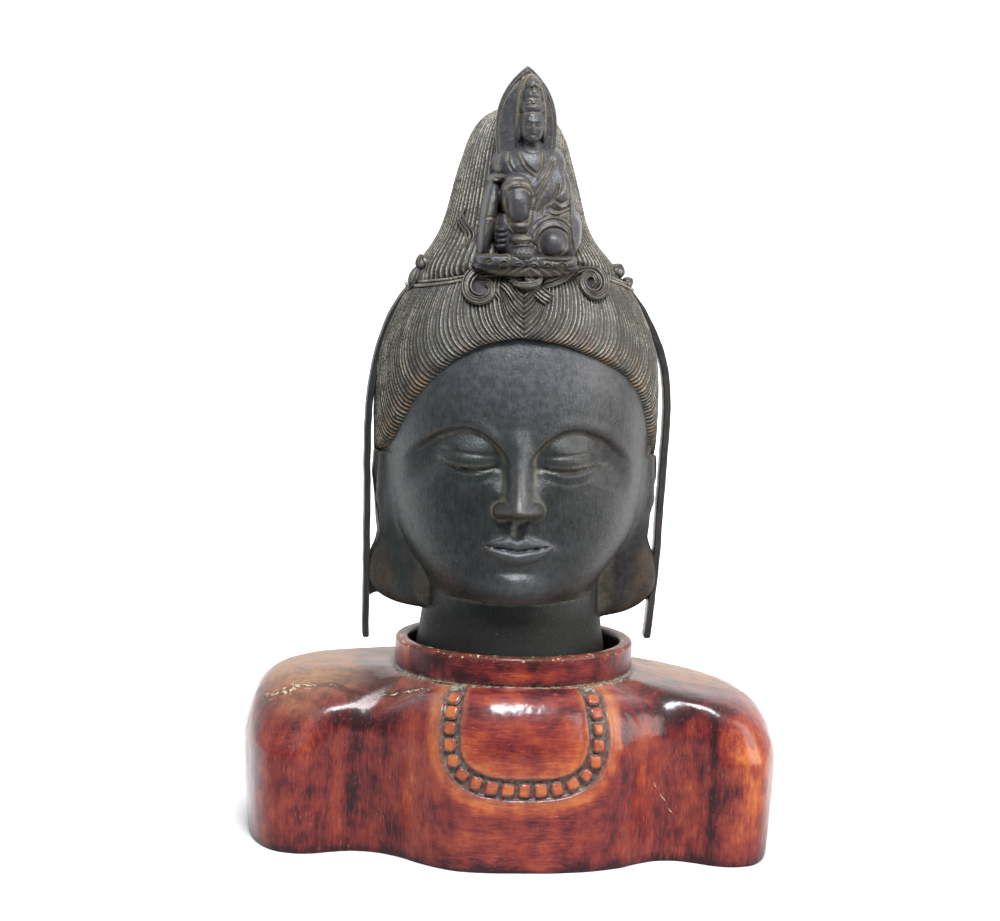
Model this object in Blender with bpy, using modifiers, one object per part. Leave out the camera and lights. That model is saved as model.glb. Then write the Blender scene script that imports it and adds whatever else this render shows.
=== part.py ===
"""A cast bronze Guanyin head with a tall topknot, a seated crown figure and two hanging ribbons,
standing in the turned collar of a carved and lacquered wooden shoulder stand.

Metres, +Z up. The front faces -Y, the origin is the middle of the stand's underside, and the
collar's axis is the Z axis. Two pieces: guanyin_head and shoulder_stand."""

import math

import bmesh
import bpy
import numpy as np
from mathutils import Matrix, Vector
from mathutils.bvhtree import BVHTree

MM = 0.001

# Shoulder stand, in millimetres.
STAND_COLUMNS = 92
BEND_WEIGHT = 14.0
COLLAR_TOP = 106.0
COLLAR_OUTER = 61.3
COLLAR_INNER = 54.8
COLLAR_FOOT = 91.0
COLLAR_EDGE = 2.2
RECESS_FLOOR = 88.0
SHOULDER_FALL_LEFT = 2.0
SHOULDER_FALL_RIGHT = 6.0
SHOULDER_ROUND_LEFT = 26.0
SHOULDER_ROUND_RIGHT = 29.5
WALL_TOP = 57.0
UNDERCUT = 3.5
BASE_EDGE = 1.5
# The block was carved by eye: the line of its arms turns a little against the chest, and lies to the left.
ARM_TURN = 0.105
ARM_SHIFT = -2.0
SOFTEN_STEPS = 60
# Half of the stand's plan, front to back: chest, flute beside it, arm, side and back.
HALF_PLAN = (
    (0.0, -80.0), (18.0, -79.3), (36.0, -75.0), (52.0, -64.5), (63.0, -53.0), (74.0, -45.0),
    (86.0, -43.0), (96.0, -46.5), (106.0, -51.5), (116.0, -52.0), (126.0, -45.5), (133.5, -28.0),
    (136.5, 0.0), (133.0, 26.0), (121.0, 46.0), (98.0, 57.0), (66.0, 63.5), (32.0, 67.0), (0.0, 68.0),
)

# Carved necklace on the chest.
BEADS = 19
NECKLACE_HALF_WIDTH = 37.3
NECKLACE_TOP_HALF_WIDTH = 34.0
NECKLACE_SHOULDER = 70.0
NECKLACE_DROP = 27.0
NECKLACE_POWER = 2.8
CHANNEL_WIDTH = 11.0
CHANNEL_DEPTH = 1.6
BEAD_SIZE = 6.6
BEAD_PROUD = 0.7

# Head, in millimetres from its own axis, which stands a little to the left of the collar's.
HEAD_X = -2.0
# The face and the parting are turned a little against the stand.
HEAD_TURN = math.radians(-3.0)
NECK_BOTTOM = 88.3
BROW = 220.0
EYE_LINE = 205.0
NOSE_BASE = 176.0
MOUTH = 161.0
EYE_X = 26.0
# Neck: height and radius.
NECK = ((80, 48.6), (100, 48.6), (112, 47.0), (126, 45.5), (150, 45.0), (200, 45.0))
NECK_RADIUS = 45.5
SOFT_JOIN = 4.0
# Long ears, whose lobes flare out from the jaw.
EAR_TOP = 212.0
EAR_ANGLE = 90.0
EAR_HALF_ANGLE = 13.0
LOBE_WIDEST = 138.0
LOBE_REACH = 74.5
LOBE_BOTTOM_LEFT = 122.0
LOBE_BOTTOM_RIGHT = 118.5
# Face and skull under the hair: height, middle, half width, depth to the front, depth to the back.
SKULL = (
    (127, -27, 15, 18, 15), (131, -23, 26, 31.5, 22), (137, -19, 36.5, 39.5, 27), (145, -16, 45.5, 44.5, 31),
    (155, -11, 54, 50, 40), (166, -6, 61, 55, 54), (180, -1, 65.5, 60.5, 66), (196, 0, 67.5, 62, 73),
    (215, 0, 68, 63, 77), (240, 0, 68, 61.5, 77), (262, 0, 64, 57, 72), (282, 0, 54, 48, 62),
    (300, 0, 38, 34, 44),
)
# Hairline on each side: degrees from the face's middle, and height.
HAIRLINE_LEFT = (
    (0, 265.5), (17, 262.5), (32, 254), (47, 238), (56, 226), (64, 213), (73, 205), (88, 201),
    (104, 188), (128, 152), (190, 152),
)
HAIRLINE_RIGHT = (
    (0, 265.5), (20, 262.5), (36, 255.5), (53, 246), (65, 234), (74, 222), (82, 210), (88, 204),
    (104, 188), (128, 152), (190, 152),
)
# Outer surface of the combed hair, in the same terms.
HAIR = (
    (146, 2, 46, 44, 44), (156, 2, 55, 52, 51), (166, 2, 64, 60, 60), (185, 2, 71.5, 64, 72),
    (205, 2, 72.5, 66, 77),
    (230, 2, 73, 67.5, 78), (250, 2, 71.8, 67, 76), (262, 2, 69, 65.5, 73), (272, 2, 65, 62, 69),
    (282, 2, 60, 57.5, 64), (290, 2, 55, 53, 59), (296, 2, 49, 47, 53),
)
# Topknot: height, half width, sideways lean of its middle.
TOPKNOT = (
    (284, 52, -1.0), (292, 50, -2.0), (300, 46, -2.8), (310, 40, -3.3), (321, 36, -3.5),
    (335, 32.5, -3.5), (350, 28.5, -3.5), (361, 24.8, -3.5), (369, 20.3, -3.5), (374, 15.0, -3.5),
    (376.8, 9.0, -3.5), (378.2, 4.0, -3.5), (378.6, 0.4, -3.5),
)
TOPKNOT_DEPTH = 0.96
TOPKNOT_Y = -2.0

# Hanging ribbons: their middle line, as distance from the head's axis and height.
LEFT_RIBBON = (
    (-49.0, 291), (-57.0, 284), (-65.5, 270), (-72.0, 250), (-75.3, 228), (-76.0, 205), (-75.5, 175),
    (-75.3, 145), (-74.9, 105),
)
RIGHT_RIBBON = (
    (48.0, 293), (55.5, 286), (65.5, 272), (73.5, 254), (77.0, 236), (77.3, 215), (76.0, 185),
    (74.2, 145), (71.0, 106),
)
RIBBON_THICK = 3.8
RIBBON_WIDE = 11.0
RIBBON_Y = 0.0

# Crown figure, from the head's axis: its seat and its pointed halo.
HALO_TIP = 398.5
HALO_WIDEST = 366.0
HALO_FOOT = 342.0
HALO_HALF_WIDTH = 15.2
HALO_Y = -34.5
HALO_THICK = 3.2
HALO_X = -2.2
FIGURE_X = -1.0

HEAD_VOXEL = 1.15
HEAD_TRIANGLES = 5200


def curve_through(points, samples):
    """A smooth line through the points, by Catmull-Rom, as an array of samples a stretch."""
    p = np.asarray(points, float)
    ends = np.vstack([2 * p[0] - p[1], p, 2 * p[-1] - p[-2]])
    t = np.linspace(0.0, 1.0, samples, endpoint=False)[:, None]
    parts = []
    for a, b, c, d in zip(ends[:-3], ends[1:-2], ends[2:-1], ends[3:]):
        parts.append(
            0.5 * (2 * b + (c - a) * t + (2 * a - 5 * b + 4 * c - d) * t**2 + (3 * b - a - 3 * c + d) * t**3)
        )
    return np.vstack(parts + [p[-1:]])


def stations_at(stations, z):
    """The stations' other columns at height z, read from a smooth line through them."""
    line = curve_through(stations, 8)
    return [np.interp(z, line[:, 0], line[:, k]) for k in range(1, line.shape[1])]


def smoothstep(low, high, value):
    t = np.clip((value - low) / (high - low), 0.0, 1.0)
    return t * t * (3 - 2 * t)


def bump(x, z, x0, z0, wide, tall):
    return np.exp(-(((x - x0) / wide) ** 2) - ((z - z0) / tall) ** 2)


def loft(name, rings):
    """A closed skin over the rings, which are arrays of points of equal length, bottom first."""
    rings = np.asarray(rings, float)
    count, columns = rings.shape[:2]
    verts = list(rings.reshape(-1, 3)) + [rings[0].mean(axis=0), rings[-1].mean(axis=0)]
    faces = []
    for row in range(count - 1):
        for k in range(columns):
            a = row * columns + k
            b = row * columns + (k + 1) % columns
            faces.append((a, b, b + columns, a + columns))
    top = (count - 1) * columns
    for k in range(columns):
        after = (k + 1) % columns
        faces.append((after, k, count * columns))
        faces.append((top + k, top + after, count * columns + 1))
    mesh = bpy.data.meshes.new(name)
    mesh.from_pydata([tuple(v) for v in np.asarray(verts, float) * MM], [], faces)
    mesh.validate()
    return bpy.data.objects.new(name, mesh)


def clear_scene():
    for obj in list(bpy.data.objects):
        bpy.data.objects.remove(obj)


def material(name, colour, roughness, metallic):
    mat = bpy.data.materials.new(name)
    mat.use_nodes = True
    shader = mat.node_tree.nodes["Principled BSDF"]
    shader.inputs["Base Color"].default_value = (*colour, 1)
    shader.inputs["Roughness"].default_value = roughness
    shader.inputs["Metallic"].default_value = metallic
    mat.diffuse_color = (*colour, 1)
    return mat


# ---- shoulder stand ----


def plan_columns():
    """Points round the wall, closer where it bends, a softened plan for the shoulder, and collar angles."""
    half = curve_through(HALF_PLAN, 12)
    line = np.vstack([half * (-1, 1), half[-2:0:-1]])[::-1]
    reach = np.abs(line[:, 0])
    turned = line[:, 1] - ARM_TURN * line[:, 0] * smoothstep(26.0, 66.0, reach)
    line = np.stack([line[:, 0] + ARM_SHIFT * smoothstep(60.0, 110.0, reach), turned], axis=1)
    soft = line.copy()
    for _ in range(SOFTEN_STEPS):
        soft = (np.roll(soft, 1, axis=0) + soft + np.roll(soft, -1, axis=0)) / 3
    ahead = np.roll(line, -1, axis=0) - line
    heading = np.arctan2(ahead[:, 1], ahead[:, 0])
    bend = np.abs((heading - np.roll(heading, 1) + math.pi) % (2 * math.pi) - math.pi)
    weight = np.hypot(*ahead.T) + BEND_WEIGHT * bend
    at = np.concatenate([[0], np.cumsum(weight)])
    wanted = np.linspace(0, at[-1], STAND_COLUMNS, endpoint=False)
    both = np.hstack([line, soft])
    closed = np.vstack([both, both[:1]])
    x, y, soft_x, soft_y = [np.interp(wanted, at, closed[:, k]) for k in range(4)]
    arc = np.concatenate([[0], np.cumsum(np.hypot(*ahead.T))])
    share = np.interp(wanted, at, arc / arc[-1]) * 2 * math.pi
    polar = np.unwrap(np.arctan2(x, -y))
    share = polar[0] + math.copysign(1, polar[-1] - polar[0]) * share
    return np.stack([x, y], axis=1), np.stack([soft_x, soft_y], axis=1), 0.65 * polar + 0.35 * share


def stand_rings():
    """The stand's skin as rings: up the wall, over the shoulder, over the collar and into the recess."""
    wall, soft, angle = plan_columns()
    out = np.stack([np.sin(angle), -np.cos(angle)], axis=1)
    foot = COLLAR_OUTER * out
    run = np.hypot(*(soft - foot).T)
    inward = (foot - soft) / run[:, None]
    rightward = smoothstep(-60.0, 60.0, wall[:, 0])
    round_size = SHOULDER_ROUND_LEFT + (SHOULDER_ROUND_RIGHT - SHOULDER_ROUND_LEFT) * rightward
    fall = SHOULDER_FALL_LEFT + (SHOULDER_FALL_RIGHT - SHOULDER_FALL_LEFT) * rightward
    corner = np.minimum(round_size, run * 0.97)
    shoulder = COLLAR_FOOT - fall * np.clip((run - round_size) / 40.0, 0.0, 1.0)
    levels = [
        (UNDERCUT + BASE_EDGE + 0 * run, 0 * run),
        (UNDERCUT + 0 * run, BASE_EDGE + 0 * run),
        (UNDERCUT * 0.15 + 0 * run, 35.0 + 0 * run),
    ]
    for step in range(7):
        turn = step / 6 * math.pi / 2
        levels.append((corner * (1 - math.cos(turn)), WALL_TOP + (shoulder - WALL_TOP) * math.sin(turn)))
    levels.append(((corner + run) / 2, (shoulder + COLLAR_FOOT) / 2))
    rings = []
    for inset, height in levels:
        ease = smoothstep(0.0, 0.8, (inset - UNDERCUT) / corner)[:, None]
        rings.append(np.column_stack([wall + (soft - wall) * ease + inward * inset[:, None], height]))
    collar = (
        (COLLAR_OUTER, COLLAR_FOOT),
        (COLLAR_OUTER, COLLAR_TOP - COLLAR_EDGE),
        (COLLAR_OUTER - COLLAR_EDGE * 0.3, COLLAR_TOP - COLLAR_EDGE * 0.3),
        (COLLAR_OUTER - COLLAR_EDGE, COLLAR_TOP),
        (COLLAR_INNER, COLLAR_TOP - 0.3),
        (COLLAR_INNER, RECESS_FLOOR),
    )
    for radius, height in collar:
        rings.append(np.column_stack([radius * out, height + 0 * angle]))
    return rings


def necklace_line():
    """The necklace's middle line seen from the front, as x and z, evenly sampled from end to end."""
    turn = np.linspace(-math.pi / 2, math.pi / 2, 161)
    x = NECKLACE_HALF_WIDTH * np.sign(np.sin(turn)) * np.abs(np.sin(turn)) ** (2 / NECKLACE_POWER)
    z = NECKLACE_SHOULDER - NECKLACE_DROP * np.cos(turn) ** (2 / NECKLACE_POWER)
    top = COLLAR_FOOT - 2.5
    left = [[-NECKLACE_TOP_HALF_WIDTH, top], [-NECKLACE_HALF_WIDTH + 0.9, (top + NECKLACE_SHOULDER) / 2]]
    right = [[-px, pz] for px, pz in reversed(left)]
    return np.array(left + list(np.stack([x, z], axis=1)) + right)


def along_surface(tree, line, count, first=0.0, last=1.0):
    """Points and outward normals on the chest, evenly spaced along a line drawn on its front."""
    hits = []
    for x, z in line:
        place, normal, _, _ = tree.ray_cast(Vector((x * MM, -0.2, z * MM)), Vector((0, 1, 0)))
        hits.append(tuple(place) + tuple(normal))
    hits = np.array(hits)
    length = np.concatenate([[0], np.cumsum(np.linalg.norm(np.diff(hits[:, :3], axis=0), axis=1))])
    at = np.linspace(first, last, count) * length[-1]
    return np.stack([np.interp(at, length, hits[:, k]) for k in range(6)], axis=1)


def tree_of(obj):
    mesh = bmesh.new()
    mesh.from_mesh(obj.data)
    tree = BVHTree.FromBMesh(mesh)
    mesh.free()
    return tree


def channel_cutter(tree):
    """A tube that sinks the necklace's channel into the chest."""
    half = CHANNEL_WIDTH / 2
    radius = (half**2 + CHANNEL_DEPTH**2) / (2 * CHANNEL_DEPTH)
    path = along_surface(tree, necklace_line(), 26)
    sides = np.linspace(0, 2 * math.pi, 14, endpoint=False)
    rings = []
    for k, row in enumerate(path):
        ahead = Vector(path[min(k + 1, len(path) - 1)][:3]) - Vector(path[max(k - 1, 0)][:3])
        out = Vector(row[3:]).normalized()
        across = out.cross(ahead).normalized()
        middle = Vector(row[:3]) / MM + out * (radius - CHANNEL_DEPTH)
        rings.append([middle + across * radius * math.cos(s) + out * radius * math.sin(s) for s in sides])
    return loft("necklace_channel", rings)


def bead_mesh():
    """One carved bead: a cube with its upright edges and its front rounded."""
    shape = bmesh.new()
    bmesh.ops.create_cube(shape, size=BEAD_SIZE * MM)
    bmesh.ops.scale(shape, vec=(1, 1, 0.75), verts=shape.verts)
    upright = [e for e in shape.edges if abs(e.verts[0].co.z - e.verts[1].co.z) > MM]
    bmesh.ops.bevel(shape, geom=upright, offset=1.8 * MM, segments=1, affect="EDGES")
    front = [f for f in shape.faces if f.normal.z > 0.9]
    rim = list({e for f in front for e in f.edges})
    bmesh.ops.bevel(shape, geom=rim, offset=1.0 * MM, segments=1, affect="EDGES")
    mesh = bpy.data.meshes.new("bead")
    shape.to_mesh(mesh)
    shape.free()
    return mesh


def build_stand(collection, cutters, wood):
    stand = loft("shoulder_stand", stand_rings())
    stand.data.materials.append(wood)
    collection.objects.link(stand)
    tree = tree_of(stand)
    helpers = [("DIFFERENCE", channel_cutter(tree))]
    mesh = bead_mesh()
    lift = (BEAD_PROUD - BEAD_SIZE * 0.375) * MM
    for k, row in enumerate(along_surface(tree, necklace_line(), BEADS, 0.025, 0.975)):
        bead = bpy.data.objects.new(f"bead_{k:02d}", mesh)
        out = Vector(row[3:]).normalized()
        down = Vector((0, 0, -1)) - out * Vector((0, 0, -1)).dot(out)
        turn = Matrix((out.cross(down).normalized(), down.normalized(), out)).transposed()
        bead.matrix_world = Matrix.Translation(Vector(row[:3]) + out * lift) @ turn.to_4x4()
        helpers.append(("UNION", bead))
    for operation, helper in helpers:
        helper.hide_render = True
        helper.display_type = "WIRE"
        cutters.objects.link(helper)
        cut = stand.modifiers.new(helper.name, "BOOLEAN")
        cut.operation = operation
        cut.object = helper
    return stand


# ---- head ----


def section_radius(station, angle):
    """Radius at each angle of an oval whose middle may sit off the head's axis."""
    middle, half, front, back = station
    turn = np.linspace(0, math.pi, 181)
    depth = np.where(turn < math.pi / 2, front, back)
    x = half * np.sin(turn) ** 0.95
    y = middle - depth * np.cos(turn)
    around = np.arctan2(x, -y)
    return np.interp(np.abs(angle), around, np.hypot(x, y))


def hair_edge(angle):
    """Height of the hairline, an arch over the forehead that ends over the ears and falls to the nape."""
    across = np.degrees(angle - HEAD_TURN)
    left = np.interp(-across, *np.transpose(HAIRLINE_LEFT))
    right = np.interp(across, *np.transpose(HAIRLINE_RIGHT))
    return np.where(across < 0, left, right)


def brow_line(x):
    """Height of the brow's crest at a distance x from the middle."""
    inner = BROW + 2.0 - 13.5 * np.clip((27.0 - x) / 21.0, 0, 1.4) ** 2
    outer = BROW + 2.0 - 11.0 * np.clip((x - 27.0) / 24.0, 0, 1.4) ** 2
    return np.where(x < 27.0, inner, outer)


def face_relief(side, z):
    """How far the face stands out from the plain skull, mirrored about the middle."""
    x = np.abs(side)
    below = brow_line(x) - z
    lower_edge = 1.0 - smoothstep(6.0, 24.0, below - 4.0)
    socket = smoothstep(0.0, 7.0, below) * lower_edge * smoothstep(58.0, 42.0, x)
    relief = -4.6 * socket * smoothstep(3.0, 9.0, x)
    relief += 1.0 * np.exp(-((below + 2.5) / 5.0) ** 2) * smoothstep(56.0, 44.0, x)
    tall = np.where(z > EYE_LINE + 1.5, 9.5, 7.5)
    relief += 4.2 * np.exp(-np.abs((x - EYE_X) / 13.5) ** 3 - np.abs((z - EYE_LINE - 1.5) / tall) ** 2.4)
    slit = EYE_LINE - 2.4 - 1.8 * (1 - ((x - EYE_X) / 14.0) ** 2)
    open_eye = np.clip(1 - ((x - EYE_X) / 13.5) ** 2, 0, 1)
    relief -= 1.4 * open_eye**0.5 * np.exp(-(((z - slit) / 1.3) ** 2))
    along = np.clip((222.0 - z) / 41.0, 0, 1)
    ridge = (0.8 + 13.4 * along**1.15) * smoothstep(174.2, 181.0, z) * smoothstep(236.0, 216.0, z)
    crisp = np.exp(-((x / (4.0 + 1.8 * along**3)) ** 2.8))
    relief += ridge * (0.75 * crisp + 0.25 * np.exp(-((x / 10.0) ** 2)))
    relief += 4.0 * bump(x, z, 7.6, NOSE_BASE + 3.8, 4.2, 4.4)
    relief += 2.4 * bump(x, z, 0.0, MOUTH, 24.0, 15.0)
    lip_line = MOUTH + 1.9 * (x / 17.0) ** 2
    lips = np.clip(1 - (x / 17.0) ** 2, 0, 1) ** 0.6
    relief += 2.5 * lips * np.exp(-(((z - lip_line - 3.0) / 2.6) ** 2))
    relief += 3.1 * lips * np.exp(-(((z - lip_line + 4.0) / 3.0) ** 2)) * smoothstep(17.0, 9.0, x)
    relief -= 1.2 * lips * np.exp(-(((z - lip_line) / 0.9) ** 2))
    relief -= 1.6 * bump(x, z, 0.0, 149.6, 12.0, 3.2)
    relief += 3.3 * bump(x, z, 0.0, 140.5, 12.5, 8.0)
    relief += 2.2 * bump(x, z, 33.0, 180.0, 19.0, 20.0)
    return relief


def lobe_reach(z, bottom):
    """How far the ear reaches sideways at height z: narrow at mid ear, flaring into a rounded lobe."""
    ear = np.interp(z, (150.0, 160.0, 172.0, 190.0, 206.0), (72.5, 69.5, 70.0, 72.0, 70.0))
    height = LOBE_WIDEST - bottom
    fall = np.clip((LOBE_WIDEST - z) / height, 0, 1)
    lobe = NECK_RADIUS + (LOBE_REACH - NECK_RADIUS) * math.sqrt(1 - fall**2)
    share = smoothstep(LOBE_WIDEST + 2, LOBE_WIDEST + 18, z)
    return lobe + (ear - lobe) * share


def head_radius(angle, z):
    """Distance of the skin, with face and ears, from the head's axis."""
    neck = np.interp(z, *np.transpose(curve_through(NECK, 6)))
    face = 0.0 * angle
    if z > SKULL[0][0]:
        turned = (angle - HEAD_TURN + math.pi) % (2 * math.pi) - math.pi
        face = section_radius(stations_at(SKULL, z), turned)
        side = face * np.sin(turned)
        face = face + face_relief(side, z) * smoothstep(math.radians(75), math.radians(55), np.abs(turned))
    radius = SOFT_JOIN * np.logaddexp((neck + 0 * angle) / SOFT_JOIN, face / SOFT_JOIN)
    for side, bottom in ((-1, LOBE_BOTTOM_LEFT), (1, LOBE_BOTTOM_RIGHT)):
        if bottom < z < EAR_TOP:
            across = (side * np.degrees(angle) - EAR_ANGLE) / EAR_HALF_ANGLE
            reach = lobe_reach(z, bottom) * math.sqrt(min(1.0, (EAR_TOP - z) / 8.0))
            radius = radius + np.maximum(reach - radius, 0) * np.exp(-np.abs(across) ** 4.0)
    return radius


def head_rings():
    angle = np.concatenate([np.linspace(-math.pi, -1.9, 14, endpoint=False),
                            np.linspace(-1.9, 1.9, 170, endpoint=False),
                            np.linspace(1.9, math.pi, 14, endpoint=False)])
    heights = np.arange(NECK_BOTTOM - 4.0, 296.0, 1.1)
    rings = []
    for z in heights:
        radius = head_radius(angle, z)
        rings.append(np.stack([radius * np.sin(angle), -radius * np.cos(angle), z + 0 * angle], axis=1))
    return rings


def hair_rings():
    """The combed hair as a thick cap. Below its edge the cap hides inside the skull."""
    angle = np.linspace(-math.pi, math.pi, 180, endpoint=False)
    edge = hair_edge(angle)
    rings = []
    for z in np.arange(147.0, 297.0, 1.2):
        outer = section_radius(stations_at(HAIR, z), angle)
        skull = section_radius(stations_at(SKULL, z), angle)
        shown = smoothstep(-1.5, 3.5, z - edge)
        radius = (skull - 9.0) + (outer - skull + 9.0) * shown
        rings.append(np.stack([radius * np.sin(angle), -radius * np.cos(angle), z + 0 * angle], axis=1))
    return rings


def topknot_rings():
    angle = np.linspace(-math.pi, math.pi, 120, endpoint=False)
    rings = []
    for z, half, lean in curve_through(TOPKNOT, 4):
        half = max(half, 0.3)
        furrow = 0.5 * min(half / 20.0, 1.0) * np.cos(angle * 30)
        radius = half + furrow
        x = lean + radius * np.sin(angle)
        y = TOPKNOT_Y - TOPKNOT_DEPTH * radius * np.cos(angle)
        rings.append(np.stack([x, y, z + 0 * angle], axis=1))
    return rings


def curve_object(name, points, radius):
    """A tube through the points, its ends filled."""
    data = bpy.data.curves.new(name, "CURVE")
    data.dimensions = "3D"
    data.bevel_depth = radius * MM
    data.bevel_resolution = 2
    data.use_fill_caps = True
    spline = data.splines.new("POLY")
    spline.points.add(len(points) - 1)
    for point, place in zip(spline.points, points):
        point.co = (*(np.asarray(place, float) * MM), 1)
    return bpy.data.objects.new(name, data)


def halo_outline():
    """The halo's pointed oval: its foot between the shoulders, and its tip."""
    sides = []
    for turn in np.linspace(0, 1, 15):
        z = HALO_FOOT + (HALO_TIP - HALO_FOOT) * turn
        if z < HALO_WIDEST:
            rise = (HALO_WIDEST - z) / (HALO_WIDEST - HALO_FOOT)
            half = HALO_HALF_WIDTH * (1 - 0.30 * rise**2)
        else:
            rise = (z - HALO_WIDEST) / (HALO_TIP - HALO_WIDEST)
            half = HALO_HALF_WIDTH * (1 - rise**2.5) ** 0.92
        sides.append((half, z))
    left = [(-half, z) for half, z in sides[:-1]]
    right = [(half, z) for half, z in sides[-2::-1]]
    return left + [(0.0, HALO_TIP)] + right


def halo_object():
    data = bpy.data.curves.new("halo", "CURVE")
    data.dimensions = "2D"
    data.fill_mode = "BOTH"
    data.extrude = HALO_THICK / 2 * MM
    spline = data.splines.new("POLY")
    outline = halo_outline()
    spline.points.add(len(outline) - 1)
    for point, (x, z) in zip(spline.points, outline):
        point.co = (x * MM, z * MM, 0, 1)
    spline.use_cyclic_u = True
    obj = bpy.data.objects.new("halo", data)
    upright = Matrix.Rotation(math.pi / 2, 4, "X")
    obj.matrix_world = Matrix.Translation((HALO_X * MM, HALO_Y * MM, 0)) @ upright
    return obj


def ball(name, place, size, lean=0.0):
    """An ellipsoid at place with half sizes size, leaning sideways by lean radians."""
    bpy.ops.mesh.primitive_uv_sphere_add(segments=32, ring_count=20, radius=1.0)
    obj = bpy.context.object
    obj.name = name
    obj.matrix_world = (
        Matrix.Translation(Vector(place) * MM)
        @ Matrix.Rotation(lean, 4, "Y")
        @ Matrix.Diagonal((*(Vector(size) * MM), 1))
    )
    return obj


def figure_objects():
    """The seated crown figure: one knee raised, the other leg folded, robe open at the neck."""
    x = FIGURE_X
    shapes = [
        ("seat", (x, -46, 302.5), (24.5, 14, 3.6), 0),
        ("seat_foot", (x, -45, 297.5), (27, 12, 5), 0),
        ("body", (x + 1, -40, 330), (17.5, 11, 25), 0),
        ("sleeve_left", (x - 15, -42, 322), (7.5, 8, 26), 0.10),
        ("sleeve_right", (x + 16.5, -42, 322), (8.0, 9, 27), -0.13),
        ("chest", (x + 1, -44, 340), (10, 8, 13), 0),
        ("shin", (x - 9.5, -53, 327), (6.4, 7.5, 14.5), 0),
        ("knee_cloth", (x - 9.5, -49, 334), (9, 8, 8), 0),
        ("folded_knee", (x + 11, -53, 312), (8.6, 6.5, 7.6), 0),
        ("foot", (x - 3, -54, 309), (6.5, 5, 3.6), 0),
        ("neck", (x + 1, -43, 352), (4.2, 5, 6), 0),
        ("face", (x + 1, -46, 364.5), (6.0, 5.8, 8.0), 0),
        ("cap", (x + 0.5, -44, 374), (5.4, 5.6, 6), 0),
        ("crest", (x + 0.5, -43, 382), (4.0, 5, 8.5), 0),
    ]
    return [ball(*shape) for shape in shapes]


def spiral(x, y, z, size, turns, hand):
    """A flat cloud scroll on the hair's front, wound inwards."""
    points = []
    for t in np.linspace(0, 1, 26):
        angle = hand * (math.pi * 0.5 + t * turns * 2 * math.pi)
        radius = size * (1 - 0.78 * t)
        points.append((x + radius * math.cos(angle), y, z + radius * math.sin(angle) * 0.85))
    return points


def on_hair(x, z, lift=0.5):
    """The point of the hair's surface straight behind (x, z) on the front, lifted a little."""
    middle, half, front, back = stations_at(HAIR, z)
    across = np.clip(x / half, -0.98, 0.98)
    return (x, middle - (front + lift) * math.sqrt(1 - across**2), z)


def ornament_objects():
    """Rolled edge of the hair, cloud scrolls, the jewel between them, and the side buds."""
    edge_left = [(-58, 284), (-52, 282.5), (-44, 283.5), (-36, 287.5), (-28, 293), (-20, 296)]
    edge_right = [(20, 297), (28, 300), (36, 298), (44, 294.5), (52, 290), (57, 287)]
    shapes = []
    for name, line in (("edge_left", edge_left), ("edge_right", edge_right)):
        points = [on_hair(x, min(z, 295.0), 1.0) for x, z in curve_through(line, 4)]
        shapes.append(curve_object(name, points, 1.5))
    scrolls = ((-23.0, -56.0, 288.0, 8.5, 1.2, 1), (30.0, -55.0, 292.0, 8.5, 1.2, -1),
               (3.0, -59.0, 293.0, 4.5, 1.0, 1))
    for number, (x, y, z, size, turns, hand) in enumerate(scrolls):
        shapes.append(curve_object(f"scroll_{number}", spiral(x, y, z, size, turns, hand), 1.5))
        shapes.append(ball(f"scroll_bed_{number}", (x, y + 4.0, z), (size, 4.0, size * 0.85)))
    shapes.append(ball("bud_left", (-50, -12, 297), (5, 6, 4.5), 0.5))
    shapes.append(ball("leaf_left", (-53, -12, 290), (5, 6, 7), 0.5))
    shapes.append(ball("bud_right", (46.5, -12, 296), (4.5, 6, 4.0), -0.5))
    return shapes


def ribbon_rings(line):
    """Flat strip rings along a ribbon's middle line, square at its lower end."""
    path = curve_through(line, 4)
    ahead = np.gradient(path, axis=0)
    ahead /= np.linalg.norm(ahead, axis=1)[:, None]
    rings = []
    for (x, z), (dx, dz) in zip(path, ahead):
        ring = []
        for u, v in ((-1, -1), (1, -1), (1, 1), (-1, 1)):
            out = u * RIBBON_THICK / 2
            ring.append((x - dz * out, RIBBON_Y + v * RIBBON_WIDE / 2, z + dx * out))
        rings.append(ring)
    return rings


def as_mesh(obj):
    """A curve object turned into a closed mesh object; a mesh object is given back as it is."""
    if obj.type == "MESH":
        return obj
    holder = bpy.context.scene.collection
    holder.objects.link(obj)
    bpy.context.view_layer.update()
    mesh = bpy.data.meshes.new_from_object(obj.evaluated_get(bpy.context.evaluated_depsgraph_get()))
    welded = bmesh.new()
    welded.from_mesh(mesh)
    bmesh.ops.remove_doubles(welded, verts=welded.verts, dist=0.01 * MM)
    bmesh.ops.recalc_face_normals(welded, faces=welded.faces)
    welded.to_mesh(mesh)
    welded.free()
    result = bpy.data.objects.new(obj.name + "_mesh", mesh)
    result.matrix_world = obj.matrix_world.copy()
    bpy.data.objects.remove(obj)
    return result


def joined(name, objects):
    """One mesh object holding all the given meshes in place."""
    whole = bmesh.new()
    for obj in objects:
        solid = as_mesh(obj)
        part = solid.data.copy()
        part.transform(solid.matrix_world)
        whole.from_mesh(part)
        bpy.data.meshes.remove(part)
        bpy.data.objects.remove(solid)
    bmesh.ops.recalc_face_normals(whole, faces=whole.faces)
    mesh = bpy.data.meshes.new(name)
    whole.to_mesh(mesh)
    whole.free()
    return bpy.data.objects.new(name, mesh)


def evaluated_triangles(obj):
    bpy.context.view_layer.update()
    mesh = obj.evaluated_get(bpy.context.evaluated_depsgraph_get()).to_mesh()
    mesh.calc_loop_triangles()
    return len(mesh.loop_triangles)


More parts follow.
